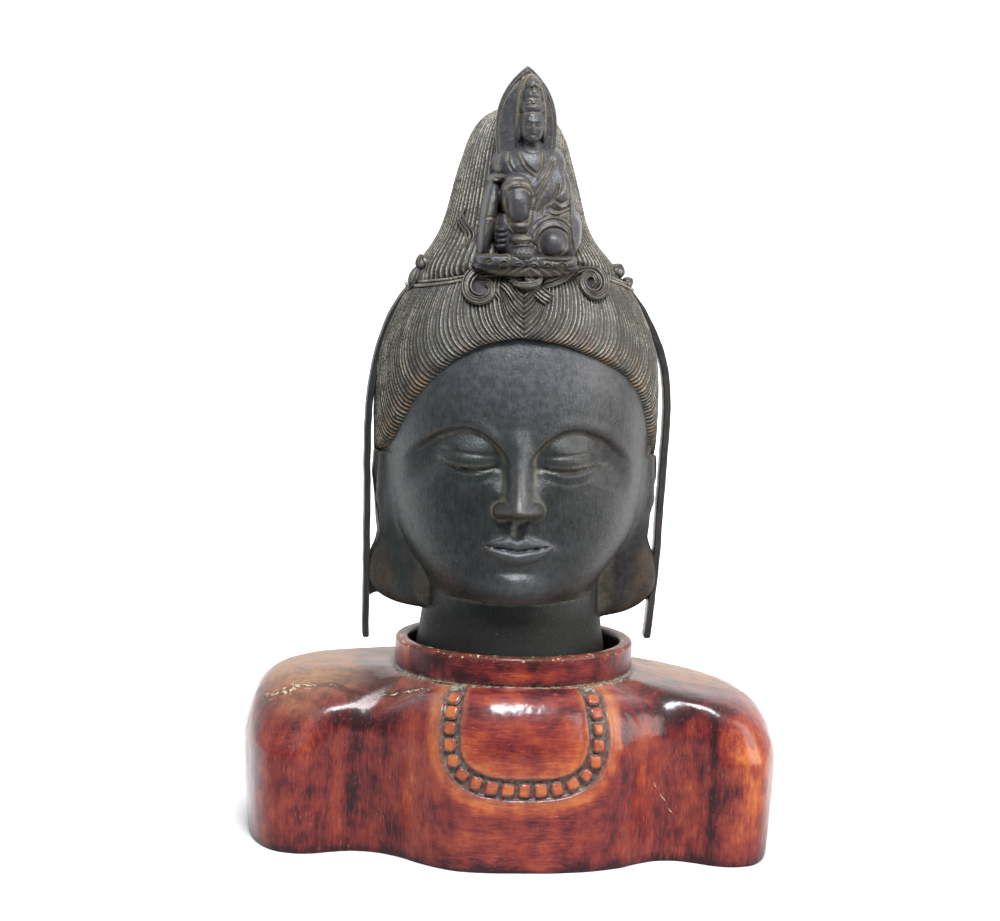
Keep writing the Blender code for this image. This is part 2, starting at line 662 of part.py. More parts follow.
def build_head(collection, cutters, bronze):
    shapes = [
        loft("skin", head_rings()),
        loft("hair", hair_rings()),
        loft("topknot", topknot_rings()),
        loft("ribbon_left", ribbon_rings(LEFT_RIBBON)[::-1]),
        loft("ribbon_right", ribbon_rings(RIGHT_RIBBON)[::-1]),
        ball("web_left", (-74.0, RIBBON_Y, 139), (4.0, 4.5, 13)),
        ball("web_right", (74.0, RIBBON_Y, 138), (4.0, 4.5, 14)),
        halo_object(),
    ]
    shapes += figure_objects() + ornament_objects()
    head = joined("guanyin_head", shapes)
    head.data.transform(Matrix.Translation((HEAD_X * MM, 0, 0)))
    head.data.materials.append(bronze)
    collection.objects.link(head)
    fuse = head.modifiers.new("cast_in_one", "REMESH")
    fuse.mode = "VOXEL"
    fuse.voxel_size = HEAD_VOXEL * MM
    thin = head.modifiers.new("thin_out", "DECIMATE")
    thin.ratio = HEAD_TRIANGLES / evaluated_triangles(head)
    bpy.ops.mesh.primitive_cube_add(size=0.2)
    below = bpy.context.object
    below.name = "below_neck"
    below.location = (0, 0, NECK_BOTTOM * MM - 0.1)
    below.hide_render = True
    below.display_type = "WIRE"
    for holder in list(below.users_collection):
        holder.objects.unlink(below)
    cutters.objects.link(below)
    cut = head.modifiers.new("flat_neck", "BOOLEAN")
    cut.operation = "DIFFERENCE"
    cut.object = below
    return head


def main():
    clear_scene()
    scene = bpy.context.scene.collection
    statue = bpy.data.collections.new("guanyin_head_on_stand")
    cutters = bpy.data.collections.new("cutters")
    scene.children.link(statue)
    scene.children.link(cutters)
    wood = material("lacquered_wood", (0.22, 0.045, 0.02), 0.3, 0.0)
    bronze = material("dark_bronze", (0.035, 0.035, 0.033), 0.45, 0.6)
    build_stand(statue, cutters, wood)
    build_head(statue, cutters, bronze)


main()
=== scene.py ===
# %% [markdown]
# # A bronze Guanyin head on a carved shoulder stand
#
# The object is a dark cast head, with a tall topknot, a small seated figure in its crown and two hanging
# ribbons. It stands in the turned collar of a wooden bust, carved with a necklace and finished in a
# red-brown lacquer. A solid model of both pieces is loaded first as a fixed frame. Every mesh made
# here stands where those solids stand, in metres, with Z up and the face looking along -Y.
#
# Nearly every surface is a *grid*: rows and columns of points worked out by a formula, then pushed in and out
# along the surface to carve it. A grid is a good way to make a carved or cast work, because the same formula
# can be sampled coarsely for a test and finely for the final mesh.

# %% Load the frame
from math import atan2, cos, pi, radians, sin, sqrt

import bmesh
import bpy
import numpy as np
from mathutils import Matrix, Vector, noise
from mathutils.bvhtree import BVHTree


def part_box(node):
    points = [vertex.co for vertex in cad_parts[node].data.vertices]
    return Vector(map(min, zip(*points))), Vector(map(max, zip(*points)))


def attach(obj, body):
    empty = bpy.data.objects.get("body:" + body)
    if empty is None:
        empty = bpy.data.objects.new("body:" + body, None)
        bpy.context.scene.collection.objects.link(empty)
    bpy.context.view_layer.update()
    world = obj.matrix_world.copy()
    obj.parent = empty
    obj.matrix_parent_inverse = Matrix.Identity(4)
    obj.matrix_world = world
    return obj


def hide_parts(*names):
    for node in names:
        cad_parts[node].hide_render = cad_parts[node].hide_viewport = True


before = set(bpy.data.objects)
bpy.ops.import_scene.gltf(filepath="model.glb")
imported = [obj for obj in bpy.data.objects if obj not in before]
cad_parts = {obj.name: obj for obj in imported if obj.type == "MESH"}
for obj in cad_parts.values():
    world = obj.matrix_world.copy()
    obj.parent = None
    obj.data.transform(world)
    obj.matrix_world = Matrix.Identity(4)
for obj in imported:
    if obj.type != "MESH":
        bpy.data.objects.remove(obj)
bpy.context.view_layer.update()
head_low, head_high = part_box("guanyin_head")
_, stand_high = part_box("shoulder_stand")
print("frame nodes:", sorted(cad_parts))

# %% [markdown]
# ## Working in millimetres
#
# Blender's unit is the metre, but a carver thinks in millimetres. All the formulas below use millimetres, and
# one helper turns a finished grid into a mesh in metres. The few heights that everything hangs on are read
# from the frame: where the collar ends, where the neck stands, and where the halo's tip is.

# %% Named heights from the frame
MM = 0.001
HEAD = ("guanyin_head", "dark_bronze")
STAND = ("shoulder_stand", "lacquered_wood")
COLLAR_TOP = stand_high[2] / MM
NECK_BOTTOM = head_low[2] / MM
HALO_TIP = head_high[2] / MM
print(f"collar top {COLLAR_TOP:.1f}, neck bottom {NECK_BOTTOM:.1f}, halo tip {HALO_TIP:.1f} mm")

# %% Small mathematical helpers


def smoothstep(low, high, value):
    """0 below low, 1 above high, with a soft rise between."""
    t = np.clip((value - low) / (high - low), 0, 1)
    return t * t * (3 - 2 * t)


def bell(value, middle, width):
    """1 at the middle, falling softly to 0 on both sides."""
    return np.exp(-(((value - middle) / width) ** 2))


def bump(x, z, x0, z0, wide, tall):
    """A soft round hill, 1 high at its middle."""
    return np.exp(-(((x - x0) / wide) ** 2) - ((z - z0) / tall) ** 2)


def bumps_at(x, z, table):
    """The sum of several hills, given as (height, x0, z0, wide, tall)."""
    return sum(height * bump(x, z, *hill) for height, *hill in table)


def joined(*parts):
    """Points from their coordinates, which may be arrays of one shape or single numbers."""
    return np.stack(np.broadcast_arrays(*parts), axis=-1)


def full_turn(count):
    return np.linspace(0, 2 * pi, count, endpoint=False)


def running(steps):
    """The distance covered before and after each step."""
    return np.concatenate([[0], np.cumsum(steps)])


def unit(vectors):
    return vectors / np.maximum(np.linalg.norm(vectors, axis=-1, keepdims=True), 1e-9)


def curve_through(points, samples):
    """A smooth line through the points (Catmull-Rom), with this many samples between each two."""
    p = np.asarray(points, float)
    ends = np.vstack([2 * p[0] - p[1], p, 2 * p[-1] - p[-2]])
    t = np.linspace(0, 1, samples, endpoint=False)[:, None]
    parts = []
    for a, b, c, d in zip(ends[:-3], ends[1:-2], ends[2:-1], ends[3:]):
        square, cube = 2 * a - 5 * b + 4 * c - d, 3 * b - a - 3 * c + d
        parts.append(0.5 * (2 * b + (c - a) * t + square * t**2 + cube * t**3))
    return np.vstack(parts + [p[-1:]])


def spaced(low, high, step_at):
    """Values from low to high whose gaps follow step_at(value), scaled to end exactly on high."""
    dense = np.linspace(low, high, 2001)
    density = 1 / step_at(dense)
    total = running((density[1:] + density[:-1]) / 2 * np.diff(dense))
    count = max(2, int(round(total[-1])) + 1)
    return np.interp(np.linspace(0, total[-1], count), total, dense)


def rough(points, size, seed):
    """Smooth noise between about -1 and 1 at each point, with hills about size millimetres across."""
    shift = Vector((seed * 17.3, seed * 5.1, seed * 9.7))
    flat = np.asarray(points, float).reshape(-1, 3) / size
    values = [noise.noise(Vector(p) + shift) for p in flat]
    return np.array(values).reshape(np.shape(points)[:-1])


# %% [markdown]
# ## From a grid to a mesh
#
# `skin` takes a block of points, rows by columns, and joins neighbours with four-sided faces. The columns can
# run round and meet, as on a head, and the first and last rows can be closed with one flat face. Values that
# a material needs later, such as how deep in a groove a point lies, are stored on the points as attributes.

# %% Grid helpers


def new_object(name, data):
    obj = bpy.data.objects.new(name, data)
    bpy.context.scene.collection.objects.link(obj)
    return obj


def new_mesh(name, points, faces):
    """A mesh object from points in millimetres, smooth except at sharp corners."""
    mesh = bpy.data.meshes.new(name)
    mesh.from_pydata((points * MM).tolist(), [], faces)
    mesh.shade_smooth()
    mesh.set_sharp_from_angle(angle=radians(60))
    return new_object(name, mesh)


def grid_quads(rows, columns, around):
    """The four-sided faces between neighbours of a grid. Counted from below, columns run anticlockwise."""
    index = np.arange(rows * columns).reshape(rows, columns)
    if around:
        index = np.hstack([index, index[:, :1]])
    return joined(index[:-1, :-1], index[:-1, 1:], index[1:, 1:], index[1:, :-1]).reshape(-1, 4)


def skin(name, grid, around=True, close_low=False, close_high=False):
    """A mesh object over a grid of points in millimetres."""
    rows, columns = grid.shape[:2]
    faces = grid_quads(rows, columns, around).tolist()
    if close_low:
        faces.append(list(range(columns))[::-1])
    if close_high:
        faces.append(list(range((rows - 1) * columns, rows * columns)))
    return new_mesh(name, grid.reshape(-1, 3), faces)


def outward(grid):
    """Unit normals of a grid that goes round, by comparing each point's neighbours."""
    across = np.roll(grid, -1, axis=1) - np.roll(grid, 1, axis=1)
    return unit(np.cross(across, np.gradient(grid, axis=0)))


def distance_to(points, line):
    """Distance of each point to a line of closely spaced points, and which of those is nearest."""
    flat = points.reshape(-1, points.shape[-1])
    best = np.full(len(flat), 1e9)
    which = np.zeros(len(flat), int)
    for k, place in enumerate(line):
        gap = ((flat - place) ** 2).sum(axis=1)
        closer = gap < best
        best[closer] = gap[closer]
        which[closer] = k
    return np.sqrt(best).reshape(points.shape[:-1]), which.reshape(points.shape[:-1])


def keep_numbers(piece, **numbers):
    """Stores numbers on a mesh, one a point, under their names, for its finish to read."""
    for name, values in numbers.items():
        values = np.broadcast_to(np.ravel(values), len(piece.data.vertices))
        attribute = piece.data.attributes.new(name, "FLOAT", "POINT")
        attribute.data.foreach_set("value", np.ascontiguousarray(values, np.float32))


def place_piece(piece, node, slot, finish, **numbers):
    """Ties a mesh to the frame: it rides on the root body and stands for a solid of the frame."""
    keep_numbers(piece, **numbers)
    piece.data.materials.append(finish)
    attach(piece, "root")
    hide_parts(node)
    print(f"{piece.name}: {sum(len(face.vertices) - 2 for face in piece.data.polygons)} triangles")


# %% [markdown]
# ## Building materials from nodes
#
# A finish is a small network of nodes. To keep it readable, a node's output is wrapped as a `Wire`, and wires
# add, subtract and multiply like numbers: every sign in a formula becomes one Math node. `between` turns a
# wire into a soft step, `mix` blends two colours, and `plug` fills a node's inputs with wires or numbers.

# %% Node helpers


class Wire:
    """A node's output that can be used in a formula."""

    def __init__(self, socket):
        self.socket = socket
        self.tree = socket.id_data

    def __add__(self, other):
        return calc("ADD", self, other)

    def __sub__(self, other):
        return calc("SUBTRACT", self, other)

    def __rsub__(self, other):
        return calc("SUBTRACT", other, self)

    def __mul__(self, other):
        return calc("MULTIPLY", self, other)

    def __rtruediv__(self, other):
        return calc("DIVIDE", other, self)

    def __abs__(self):
        return calc("ABSOLUTE", self)

    def clamped(self):
        """Keeps the last sum between 0 and 1."""
        self.socket.node.use_clamp = True
        return self

    def between(self, low, high, to_low=0, to_high=1, kind="SMOOTHSTEP"):
        """to_low below low, to_high above high, with a soft or a LINEAR rise between."""
        ends = {"From Min": low, "From Max": high, "To Min": to_low, "To Max": to_high}
        return Wire(node(self.tree, "MapRange", {"Value": self, **ends}, interpolation_type=kind).outputs[0])


def plug(made, inputs):
    """Links or sets a node's inputs, given by name or number. A colour is three numbers."""
    for label, value in inputs.items():
        socket = made.inputs[label]
        if isinstance(value, Wire):
            socket.id_data.links.new(value.socket, socket)
        else:
            socket.default_value = (*value, 1) if socket.type == "RGBA" else value


def node(tree, kind, inputs=None, **settings):
    made = tree.nodes.new("ShaderNode" + kind)
    for name, value in settings.items():
        setattr(made, name, value)
    plug(made, inputs or {})
    return made


def calc(operation, *values):
    """One Math node over wires and numbers."""
    tree = next(value.tree for value in values if isinstance(value, Wire))
    return Wire(node(tree, "Math", dict(enumerate(values)), operation=operation).outputs[0])


def most(a, b):
    return calc("MAXIMUM", a, b)


def mix(factor, a, b):
    """The colour a where factor is 0 and b where it is 1."""
    return Wire(node(factor.tree, "Mix", {0: factor, 6: a, 7: b}, data_type="RGBA").outputs[2])


def mix_numbers(factor, a, b):
    return Wire(node(factor.tree, "Mix", {0: factor, 2: a, 3: b}).outputs[0])


def object_place(tree):
    """Where a point lies on the object, in metres."""
    return Wire(node(tree, "TexCoord").outputs["Object"])


def parts_of(place):
    """The x, y and z of a place."""
    return [Wire(part) for part in node(place.tree, "SeparateXYZ", {0: place}).outputs]


def noise_at(place, **inputs):
    return Wire(node(place.tree, "TexNoise", {"Vector": place, **inputs}).outputs["Fac"])


def clouds(tree, size, detail, roughness=0.55):
    """Noise from 0 to 1, with hills about size metres across."""
    scaled = node(tree, "Mapping", {"Vector": object_place(tree), "Scale": (1 / size,) * 3}).outputs[0]
    return noise_at(Wire(scaled), Scale=1, Detail=detail, Roughness=roughness)


def kept(tree, name):
    """A number that was stored on the mesh's points."""
    return Wire(node(tree, "Attribute", attribute_name=name, attribute_type="GEOMETRY").outputs["Fac"])


def new_group(name, inputs, outputs):
    """A shader group with named sockets, given as (name, kind, first value), and its inputs as wires."""
    tree = bpy.data.node_groups.new(name, "ShaderNodeTree")
    for label, kind, value in inputs:
        socket = tree.interface.new_socket(label, in_out="INPUT", socket_type="NodeSocket" + kind)
        socket.default_value = (*value, 1) if kind == "Color" else value
    for label, kind in outputs:
        tree.interface.new_socket(label, in_out="OUTPUT", socket_type="NodeSocket" + kind)
    given = [Wire(socket) for socket in tree.nodes.new("NodeGroupInput").outputs if socket.name]
    return tree, given, tree.nodes.new("NodeGroupOutput")


def use_group(tree, group, inputs):
    """Adds a group to a material and gives its outputs by name."""
    made = tree.nodes.new("ShaderNodeGroup")
    made.node_tree = group
    plug(made, inputs)
    return {socket.name: Wire(socket) for socket in made.outputs}


def bumps(height, strength, distance):
    """A Bump node's normals, from a height."""
    made = node(height.tree, "Bump", {"Strength": strength, "Distance": distance, "Height": height})
    return Wire(made.outputs[0])


def new_finish(name):
    finish = bpy.data.materials.new(name)
    finish.use_nodes = True
    return finish, finish.node_tree, finish.node_tree.nodes["Principled BSDF"]


# %% [markdown]
# ## Camera, floor and light
#
# The object stands in a white light tent. The backdrop and the top are brightest, which gives the lacquer its
# pale sheen along the shoulders; a soft box in front and above makes the highlights, and a large weak one
# fills from the right. The camera looks slightly down, from a little to the left, with a long lens that keeps
# the head's proportions. The floor is pale and plain.

# %% Camera
CAMERA_DISTANCE = 1.5
CAMERA_HEIGHT = 0.384
CAMERA_SIDEWAYS = -0.0096
CAMERA_AZIMUTH = radians(-5)
CAMERA_PITCH = radians(7.1)
CAMERA_ROLL = radians(1.57)
SENSOR_WIDTH = 36
LENS_OVER_WIDTH = 2.941

turned = Matrix.Rotation(CAMERA_AZIMUTH, 4, "Z")
stood = Matrix.Translation((CAMERA_SIDEWAYS, -CAMERA_DISTANCE, CAMERA_HEIGHT))
tilted = Matrix.Rotation(pi / 2 - CAMERA_PITCH, 4, "X") @ Matrix.Rotation(CAMERA_ROLL, 4, "Z")
camera = new_object("camera", bpy.data.cameras.new("camera"))
camera.data.sensor_width = SENSOR_WIDTH
camera.data.lens = SENSOR_WIDTH * LENS_OVER_WIDTH
camera.matrix_world = turned @ stood @ tilted
bpy.context.scene.camera = camera
bpy.context.scene.view_settings.view_transform = "Standard"
print(f"lens {camera.data.lens:.0f} mm at {CAMERA_DISTANCE} m")

# %% World and lamps
FRONT_LIGHT = 0.1
TOP_LIGHT = 0.55
BACKDROP_LIGHT = 0.9
SEEN_WHITE = 1.1
LIT_POINT = (0, 0, 0.2)


def light_tent():
    """A white surround that is brightest behind and above. The camera itself sees plain white."""
    world = bpy.data.worlds.new("light_tent")
    world.use_nodes = True
    tree = world.node_tree
    _, away, high = parts_of(Wire(node(tree, "TexCoord").outputs["Generated"]))
    behind = away.between(-0.2, 0.9, 0, BACKDROP_LIGHT)
    above = high.between(0, 1, FRONT_LIGHT, FRONT_LIGHT + TOP_LIGHT)
    seen = Wire(node(tree, "LightPath").outputs["Is Camera Ray"])
    strength = mix_numbers(seen, behind + above, SEEN_WHITE)
    plug(tree.nodes["Background"], {"Strength": strength, "Color": (1, 1, 1)})
    return world


def soft_box(name, place, size, power, colour):
    """A square lamp that faces the object."""
    lamp = bpy.data.lights.new(name, "AREA")
    lamp.size = size
    lamp.energy = power
    lamp.color = colour
    box = new_object(name, lamp)
    box.location = place
    box.rotation_euler = (Vector(place) - Vector(LIT_POINT)).to_track_quat("Z", "Y").to_euler()


bpy.context.scene.world = light_tent()
soft_box("front_box", (-0.04, -1, 1.42), 0.45, 32, (0.93, 0.97, 1))
soft_box("right_box", (1.35, -0.75, 0.75), 1.1, 17, (1, 0.96, 0.9))
print("lamps: front_box, right_box and the white tent")

# %% Floor
FLOOR_SIZE = 40
DARK_CLOTH = (0.05, 0.05, 0.05)
PALE_CLOTH = (0.93, 0.94, 0.95)
GLOW = (0.95, 0.95, 0.95)


def floor_cloth():
    """A pale cloth that glows away from the object. Glossy things mirror a darker cloth near their foot."""
    finish, tree, shader = new_finish("floor_finish")
    place = object_place(tree)
    away = parts_of(place)[1]
    far = Wire(node(tree, "VectorMath", {0: place}, operation="LENGTH").outputs["Value"])
    ray = node(tree, "LightPath").outputs
    seen, mirrored = Wire(ray["Is Camera Ray"]), Wire(ray["Is Glossy Ray"])
    sheet = mix(away.between(-0.42, -0.26), DARK_CLOTH, PALE_CLOTH)
    sheet = mix(mirrored * away.between(0.1, -0.06) * 0.75, sheet, DARK_CLOTH)
    sheet = mix(seen, sheet, PALE_CLOTH)
    shine = mix_numbers(seen, away.between(-0.05, 0.75), far.between(0.22, 0.75))
    glow = mix(shine, (0, 0, 0), GLOW)
    plug(shader, {"Base Color": sheet, "Emission Color": glow, "Emission Strength": 1, "Roughness": 0.9})
    return finish


bpy.ops.mesh.primitive_plane_add(size=FLOOR_SIZE, location=(0, 0, 0))
floor = bpy.context.object
floor.name = "floor"
floor.data.materials.append(floor_cloth())
print("floor:", floor.name)

# %% [markdown]
# ## Two effects shared by wood and bronze
#
# *Settled dust* lies in every hollow, and *worn ridges* show lighter where hands and cloths have rubbed. Both
# start from numbers stored on the mesh (`hollow` and `ridge`, from the carving itself) and are broken up by
# noise, because dirt never fills a groove evenly. *Streaks* are the long marks of a brush or of the grain.

# %% Group: dust and wear


def dust_and_wear_group():
    sockets_in = [
        ("Colour", "Color", (0.5, 0.5, 0.5)), ("Hollow", "Float", 0), ("Ridge", "Float", 0),
        ("Dust Colour", "Color", (0.3, 0.3, 0.25)), ("Wear Colour", "Color", (0.5, 0.3, 0.1)),
        ("Dust Amount", "Float", 0.5), ("Wear Amount", "Float", 0.5), ("Patch Size", "Float", 0.01),
    ]
    sockets_out = [("Colour", "Color"), ("Dust", "Float"), ("Wear", "Float")]
    tree, given, made = new_group("dust_and_wear", sockets_in, sockets_out)
    colour, hollow, ridge, dust_colour, wear_colour, dust_amount, wear_amount, patch_size = given
    place = object_place(tree)
    size = 1 / patch_size
    patches = noise_at(place, Scale=size, Detail=4, Roughness=0.6).between(0.35, 0.62)
    fine = noise_at(place, Scale=size * 14, Detail=2)
    dust = (hollow * dust_amount * calc("MULTIPLY_ADD", patches, 0.7, 0.3)).clamped()
    dust = (dust * fine.between(0.25, 0.55, 0.55, 1)).clamped()
    wear = (ridge * wear_amount * (1 - patches * 0.65)).clamped()
    wear = (wear * fine.between(0.3, 0.6)).clamped()
    plug(made, {"Colour": mix(dust, mix(wear, colour, wear_colour), dust_colour), "Dust": dust, "Wear": wear})
    return tree


dust_and_wear = dust_and_wear_group()
print("group:", dust_and_wear.name)

# %% Group: streaks


def streaks_group():
    """Long marks: Upright 1 runs them up and down, 0 runs them round the piece."""
    sockets_in = [("Upright", "Float", 1), ("Width", "Float", 0.002), ("Length", "Float", 0.04)]
    sockets_out = [("Value", "Float"), ("Height", "Float")]
    tree, (upright, width, length), made = new_group("streaks", sockets_in, sockets_out)
    x, y, z = parts_of(object_place(tree))
    narrow, long = 1 / width, 1 / length
    noises = []
    for across, upwards in ((narrow, long), (long, narrow)):
        stretched = node(tree, "CombineXYZ", {0: x * across, 1: y * across, 2: z * upwards}).outputs[0]
        noises.append(noise_at(Wire(stretched), Scale=1, Detail=4, Roughness=0.6, Distortion=0.4))
    height = mix_numbers(upright, noises[1], noises[0])
    plug(made, {"Value": height.between(0.3, 0.7), "Height": height})
    return tree


streaks = streaks_group()
print("group:", streaks.name)

# %% [markdown]
# ## The shoulder stand
#
# The stand is one block of soft wood: a flat-bottomed bust with rounded shoulders, a flute beside each arm,
# and a turned collar with a recess for the neck. A carver would saw the plan, round the shoulders with a
# rasp and cut the collar last. Here the same form is a grid that climbs the wall, rolls over the shoulder
# and goes over the collar into the recess. The columns are closest on the chest, where the necklace is cut.

# %% Plan and profile of the stand
HALF_PLAN = (
    (0, -80), (18, -79.3), (36, -75), (52, -64.5), (63, -53), (74, -45),
    (86, -43), (96, -46.5), (106, -51.5), (116, -52), (126, -45.5), (133.5, -28),
    (136.5, 0), (133, 26), (121, 46), (98, 57), (66, 63.5), (32, 67), (0, 68),
)
ARM_TURN = 0.105
ARM_SHIFT = -2
SOFTEN_STEPS = 240
COLLAR_OUTER = 61.3
COLLAR_INNER = 54.8
COLLAR_FOOT = COLLAR_TOP - 15
COLLAR_EDGE = 2.2
RECESS_FLOOR = COLLAR_TOP - 18
SHOULDER_FALL = (2, 6)
SHOULDER_ROUND = (26, 29.5)
LEFT_DROP = 11
WALL_TOP = 57
UNDERCUT = 3.5
BASE_EDGE = 1.5
CHEST_HALF_WIDTH = 49
CHEST_STEP = 0.62
BODY_STEP = 1.75
SHOULDER_RUBS = 280
SHOULDER_SHARES = (0.08, 0.16, 0.24, 0.32, 0.4, 0.48, 0.56, 0.64, 0.72, 0.79, 0.86, 0.92, 0.97)
FLUTE_X, FLUTE_HALF_WIDTH = 80, 19
INNER_EDGE = ((57.6, 0), (56.2, 0.1), (55.4, 0.4), (COLLAR_INNER, 1.1))


def plan_columns():
    """Points round the wall, closest on the chest, a softened plan for the shoulder, and collar angles."""
    half = curve_through(HALF_PLAN, 24)
    line = np.vstack([half * (-1, 1), half[-2:0:-1]])[::-1]
    reach = np.abs(line[:, 0])
    turned = line[:, 1] - ARM_TURN * line[:, 0] * smoothstep(26, 66, reach)
    line = joined(line[:, 0] + ARM_SHIFT * smoothstep(60, 110, reach), turned)
    soft = line.copy()
    for _ in range(SOFTEN_STEPS):
        soft = (np.roll(soft, 1, axis=0) + soft + np.roll(soft, -1, axis=0)) / 3
    ahead = np.roll(line, -1, axis=0) - line
    heading = np.arctan2(ahead[:, 1], ahead[:, 0])
    bend = np.abs((heading - np.roll(heading, 1) + pi) % (2 * pi) - pi)
    on_chest = (np.abs(line[:, 0]) < CHEST_HALF_WIDTH) & (line[:, 1] < 0)
    step = np.where(on_chest, CHEST_STEP, BODY_STEP)
    weight = np.hypot(*ahead.T) / step + 4 * bend
    at = running(weight)
    wanted = np.linspace(0, at[-1], int(at[-1]), endpoint=False)
    both = np.hstack([line, soft])
    closed = np.vstack([both, both[:1]])
    wall = joined(*[np.interp(wanted, at, closed[:, k]) for k in range(4)])
    around = running(np.hypot(*ahead.T))
    share = np.interp(wanted, at, around / around[-1]) * 2 * pi
    polar = np.unwrap(np.arctan2(wall[:, 0], -wall[:, 1]))
    return wall[:, :2], wall[:, 2:], 0.65 * polar + 0.35 * (polar[0] + share)


def shoulder_form(wall, run):
    """The size of the shoulder's rounding, its height and the wall's, all round the stand."""
    reach = np.abs(wall[:, 0])
    rightward = smoothstep(-60, 60, wall[:, 0])
    forward = smoothstep(-8, -36, wall[:, 1])
    fluted = forward * bell(reach, FLUTE_X, FLUTE_HALF_WIDTH)
    round_size = SHOULDER_ROUND[0] + (SHOULDER_ROUND[1] - SHOULDER_ROUND[0]) * rightward + 5 * forward
    fall = SHOULDER_FALL[0] + (SHOULDER_FALL[1] - SHOULDER_FALL[0]) * rightward
    lowered = LEFT_DROP * (forward * (1 - rightward) * smoothstep(52, 92, reach))
    shoulder = COLLAR_FOOT - fall * np.clip((run - round_size) / 40, 0, 1) - 9 * fluted - lowered
    return np.minimum(round_size, run * 0.97) * (1 - 0.3 * fluted), shoulder, WALL_TOP - lowered


def body_levels(wall, run):
    """Rows from the foot up the wall and over the shoulder: how far inward each lies, and its height."""
    corner, shoulder, wall_top = shoulder_form(wall, run)
    levels = []
    for turn in np.linspace(0, pi / 2, 4):
        levels.append((UNDERCUT + BASE_EDGE * (1 - sin(turn)), BASE_EDGE * (1 - cos(turn))))
    for z in spaced(3, WALL_TOP - 0.6, lambda z: np.where(z < 36, 2.6, CHEST_STEP)):
        levels.append((UNDERCUT * (1 - z / WALL_TOP) ** 1.6, z * wall_top / WALL_TOP))
    for turn in np.linspace(0, pi / 2, 66):
        levels.append((corner * (1 - cos(turn)), wall_top + (shoulder - wall_top) * sin(turn)))
    for share in SHOULDER_SHARES:
        levels.append((corner + (run - corner) * share, shoulder + (COLLAR_FOOT - shoulder) * share))
    return corner, levels


def collar_profile():
    """Radius and height up the collar, round its edge and down into the recess."""
    collar = [(COLLAR_OUTER - inset, COLLAR_FOOT + rise) for inset, rise in ((0, -0.5), (0.5, 0.2), (0.1, 1))]
    collar += [(COLLAR_OUTER, z) for z in np.linspace(COLLAR_FOOT + 2.2, COLLAR_TOP - COLLAR_EDGE, 9)]
    for turn in np.linspace(0.15, 1, 6) * pi / 2:
        inset, drop = COLLAR_EDGE * (1 - cos(turn)), COLLAR_EDGE * (1 - sin(turn))
        collar.append((COLLAR_OUTER - inset, COLLAR_TOP - drop))
    collar += [(radius, COLLAR_TOP - drop) for radius, drop in INNER_EDGE]
    return collar + [(COLLAR_INNER, z) for z in np.linspace(COLLAR_TOP - 4, RECESS_FLOOR, 5)]


def rubbed_down(grid, body_rows):
    """The grid with its shoulder smoothed, as a rasp leaves it. The wall and the collar keep their form."""
    rows_left = np.clip((body_rows - 2 - np.arange(len(grid))) / 12, 0, 1)[:, None, None]
    melt = smoothstep(WALL_TOP - 6, WALL_TOP + 10, grid[..., 2])[..., None] * rows_left
    for _ in range(SHOULDER_RUBS):
        beside = (np.roll(grid, 1, axis=1) + np.roll(grid, -1, axis=1)) / 2
        above = grid.copy()
        above[1:-1] = (grid[:-2] + grid[2:]) / 2
        grid = grid + (0.6 * beside + 0.4 * above - grid) * melt * 0.6
    return grid


def stand_grid():
    """The stand's plain form, before carving, and how many rows belong to the wall and shoulder."""
    wall, soft, angle = plan_columns()
    out = joined(np.sin(angle), -np.cos(angle))
    run = np.hypot(*(soft - COLLAR_OUTER * out).T)
    inward = (COLLAR_OUTER * out - soft) / run[:, None]
    corner, levels = body_levels(wall, run)
    rows = []
    for inset, height in levels:
        inset = (inset + 0 * run)[:, None]
        ease = smoothstep(0, 0.8, (inset - UNDERCUT) / corner[:, None])
        rows.append(np.column_stack([wall + (soft - wall) * ease + inward * inset, height + 0 * run]))
    rows += [np.column_stack([radius * out, z + 0 * angle]) for radius, z in collar_profile()]
    return rubbed_down(np.array(rows), len(levels)), len(levels)


plain_stand, body_rows = stand_grid()
print("stand grid:", plain_stand.shape[:2], "rows and columns")

# %% [markdown]
# ### Cutting the necklace
#
# The necklace is a sunk channel with a row of square beads left standing in it. Its middle line is drawn on
# the front of the chest, and every point of the grid asks how far it is from that line. Inside the channel
# the surface is pushed in, with a sharp lip at each side, as a gouge leaves it. The knife never runs quite
# true, so the lips and the surface round them waver a little.

# %% Necklace line and carving
NECKLACE_HALF_WIDTH = 37.3
NECKLACE_TOP_HALF_WIDTH = 34
NECKLACE_SHOULDER = 70
NECKLACE_DROP = 27
NECKLACE_POWER = 2.8
CHANNEL_HALF_WIDTH = 5.8
CHANNEL_DEPTH = 1.8
PANEL_DOME = 0.9


def necklace_line():
    """The necklace's middle line seen from the front, as x and z."""
    turn = np.linspace(-pi / 2, pi / 2, 161)
    x = NECKLACE_HALF_WIDTH * np.sign(np.sin(turn)) * np.abs(np.sin(turn)) ** (2 / NECKLACE_POWER)
    z = NECKLACE_SHOULDER - NECKLACE_DROP * np.cos(turn) ** (2 / NECKLACE_POWER)
    top = COLLAR_FOOT - 2.5
    left = [[-NECKLACE_TOP_HALF_WIDTH, top], [-NECKLACE_HALF_WIDTH + 0.9, (top + NECKLACE_SHOULDER) / 2]]
    right = [[-px, pz] for px, pz in reversed(left)]
    return np.array(left + list(joined(x, z)) + right)


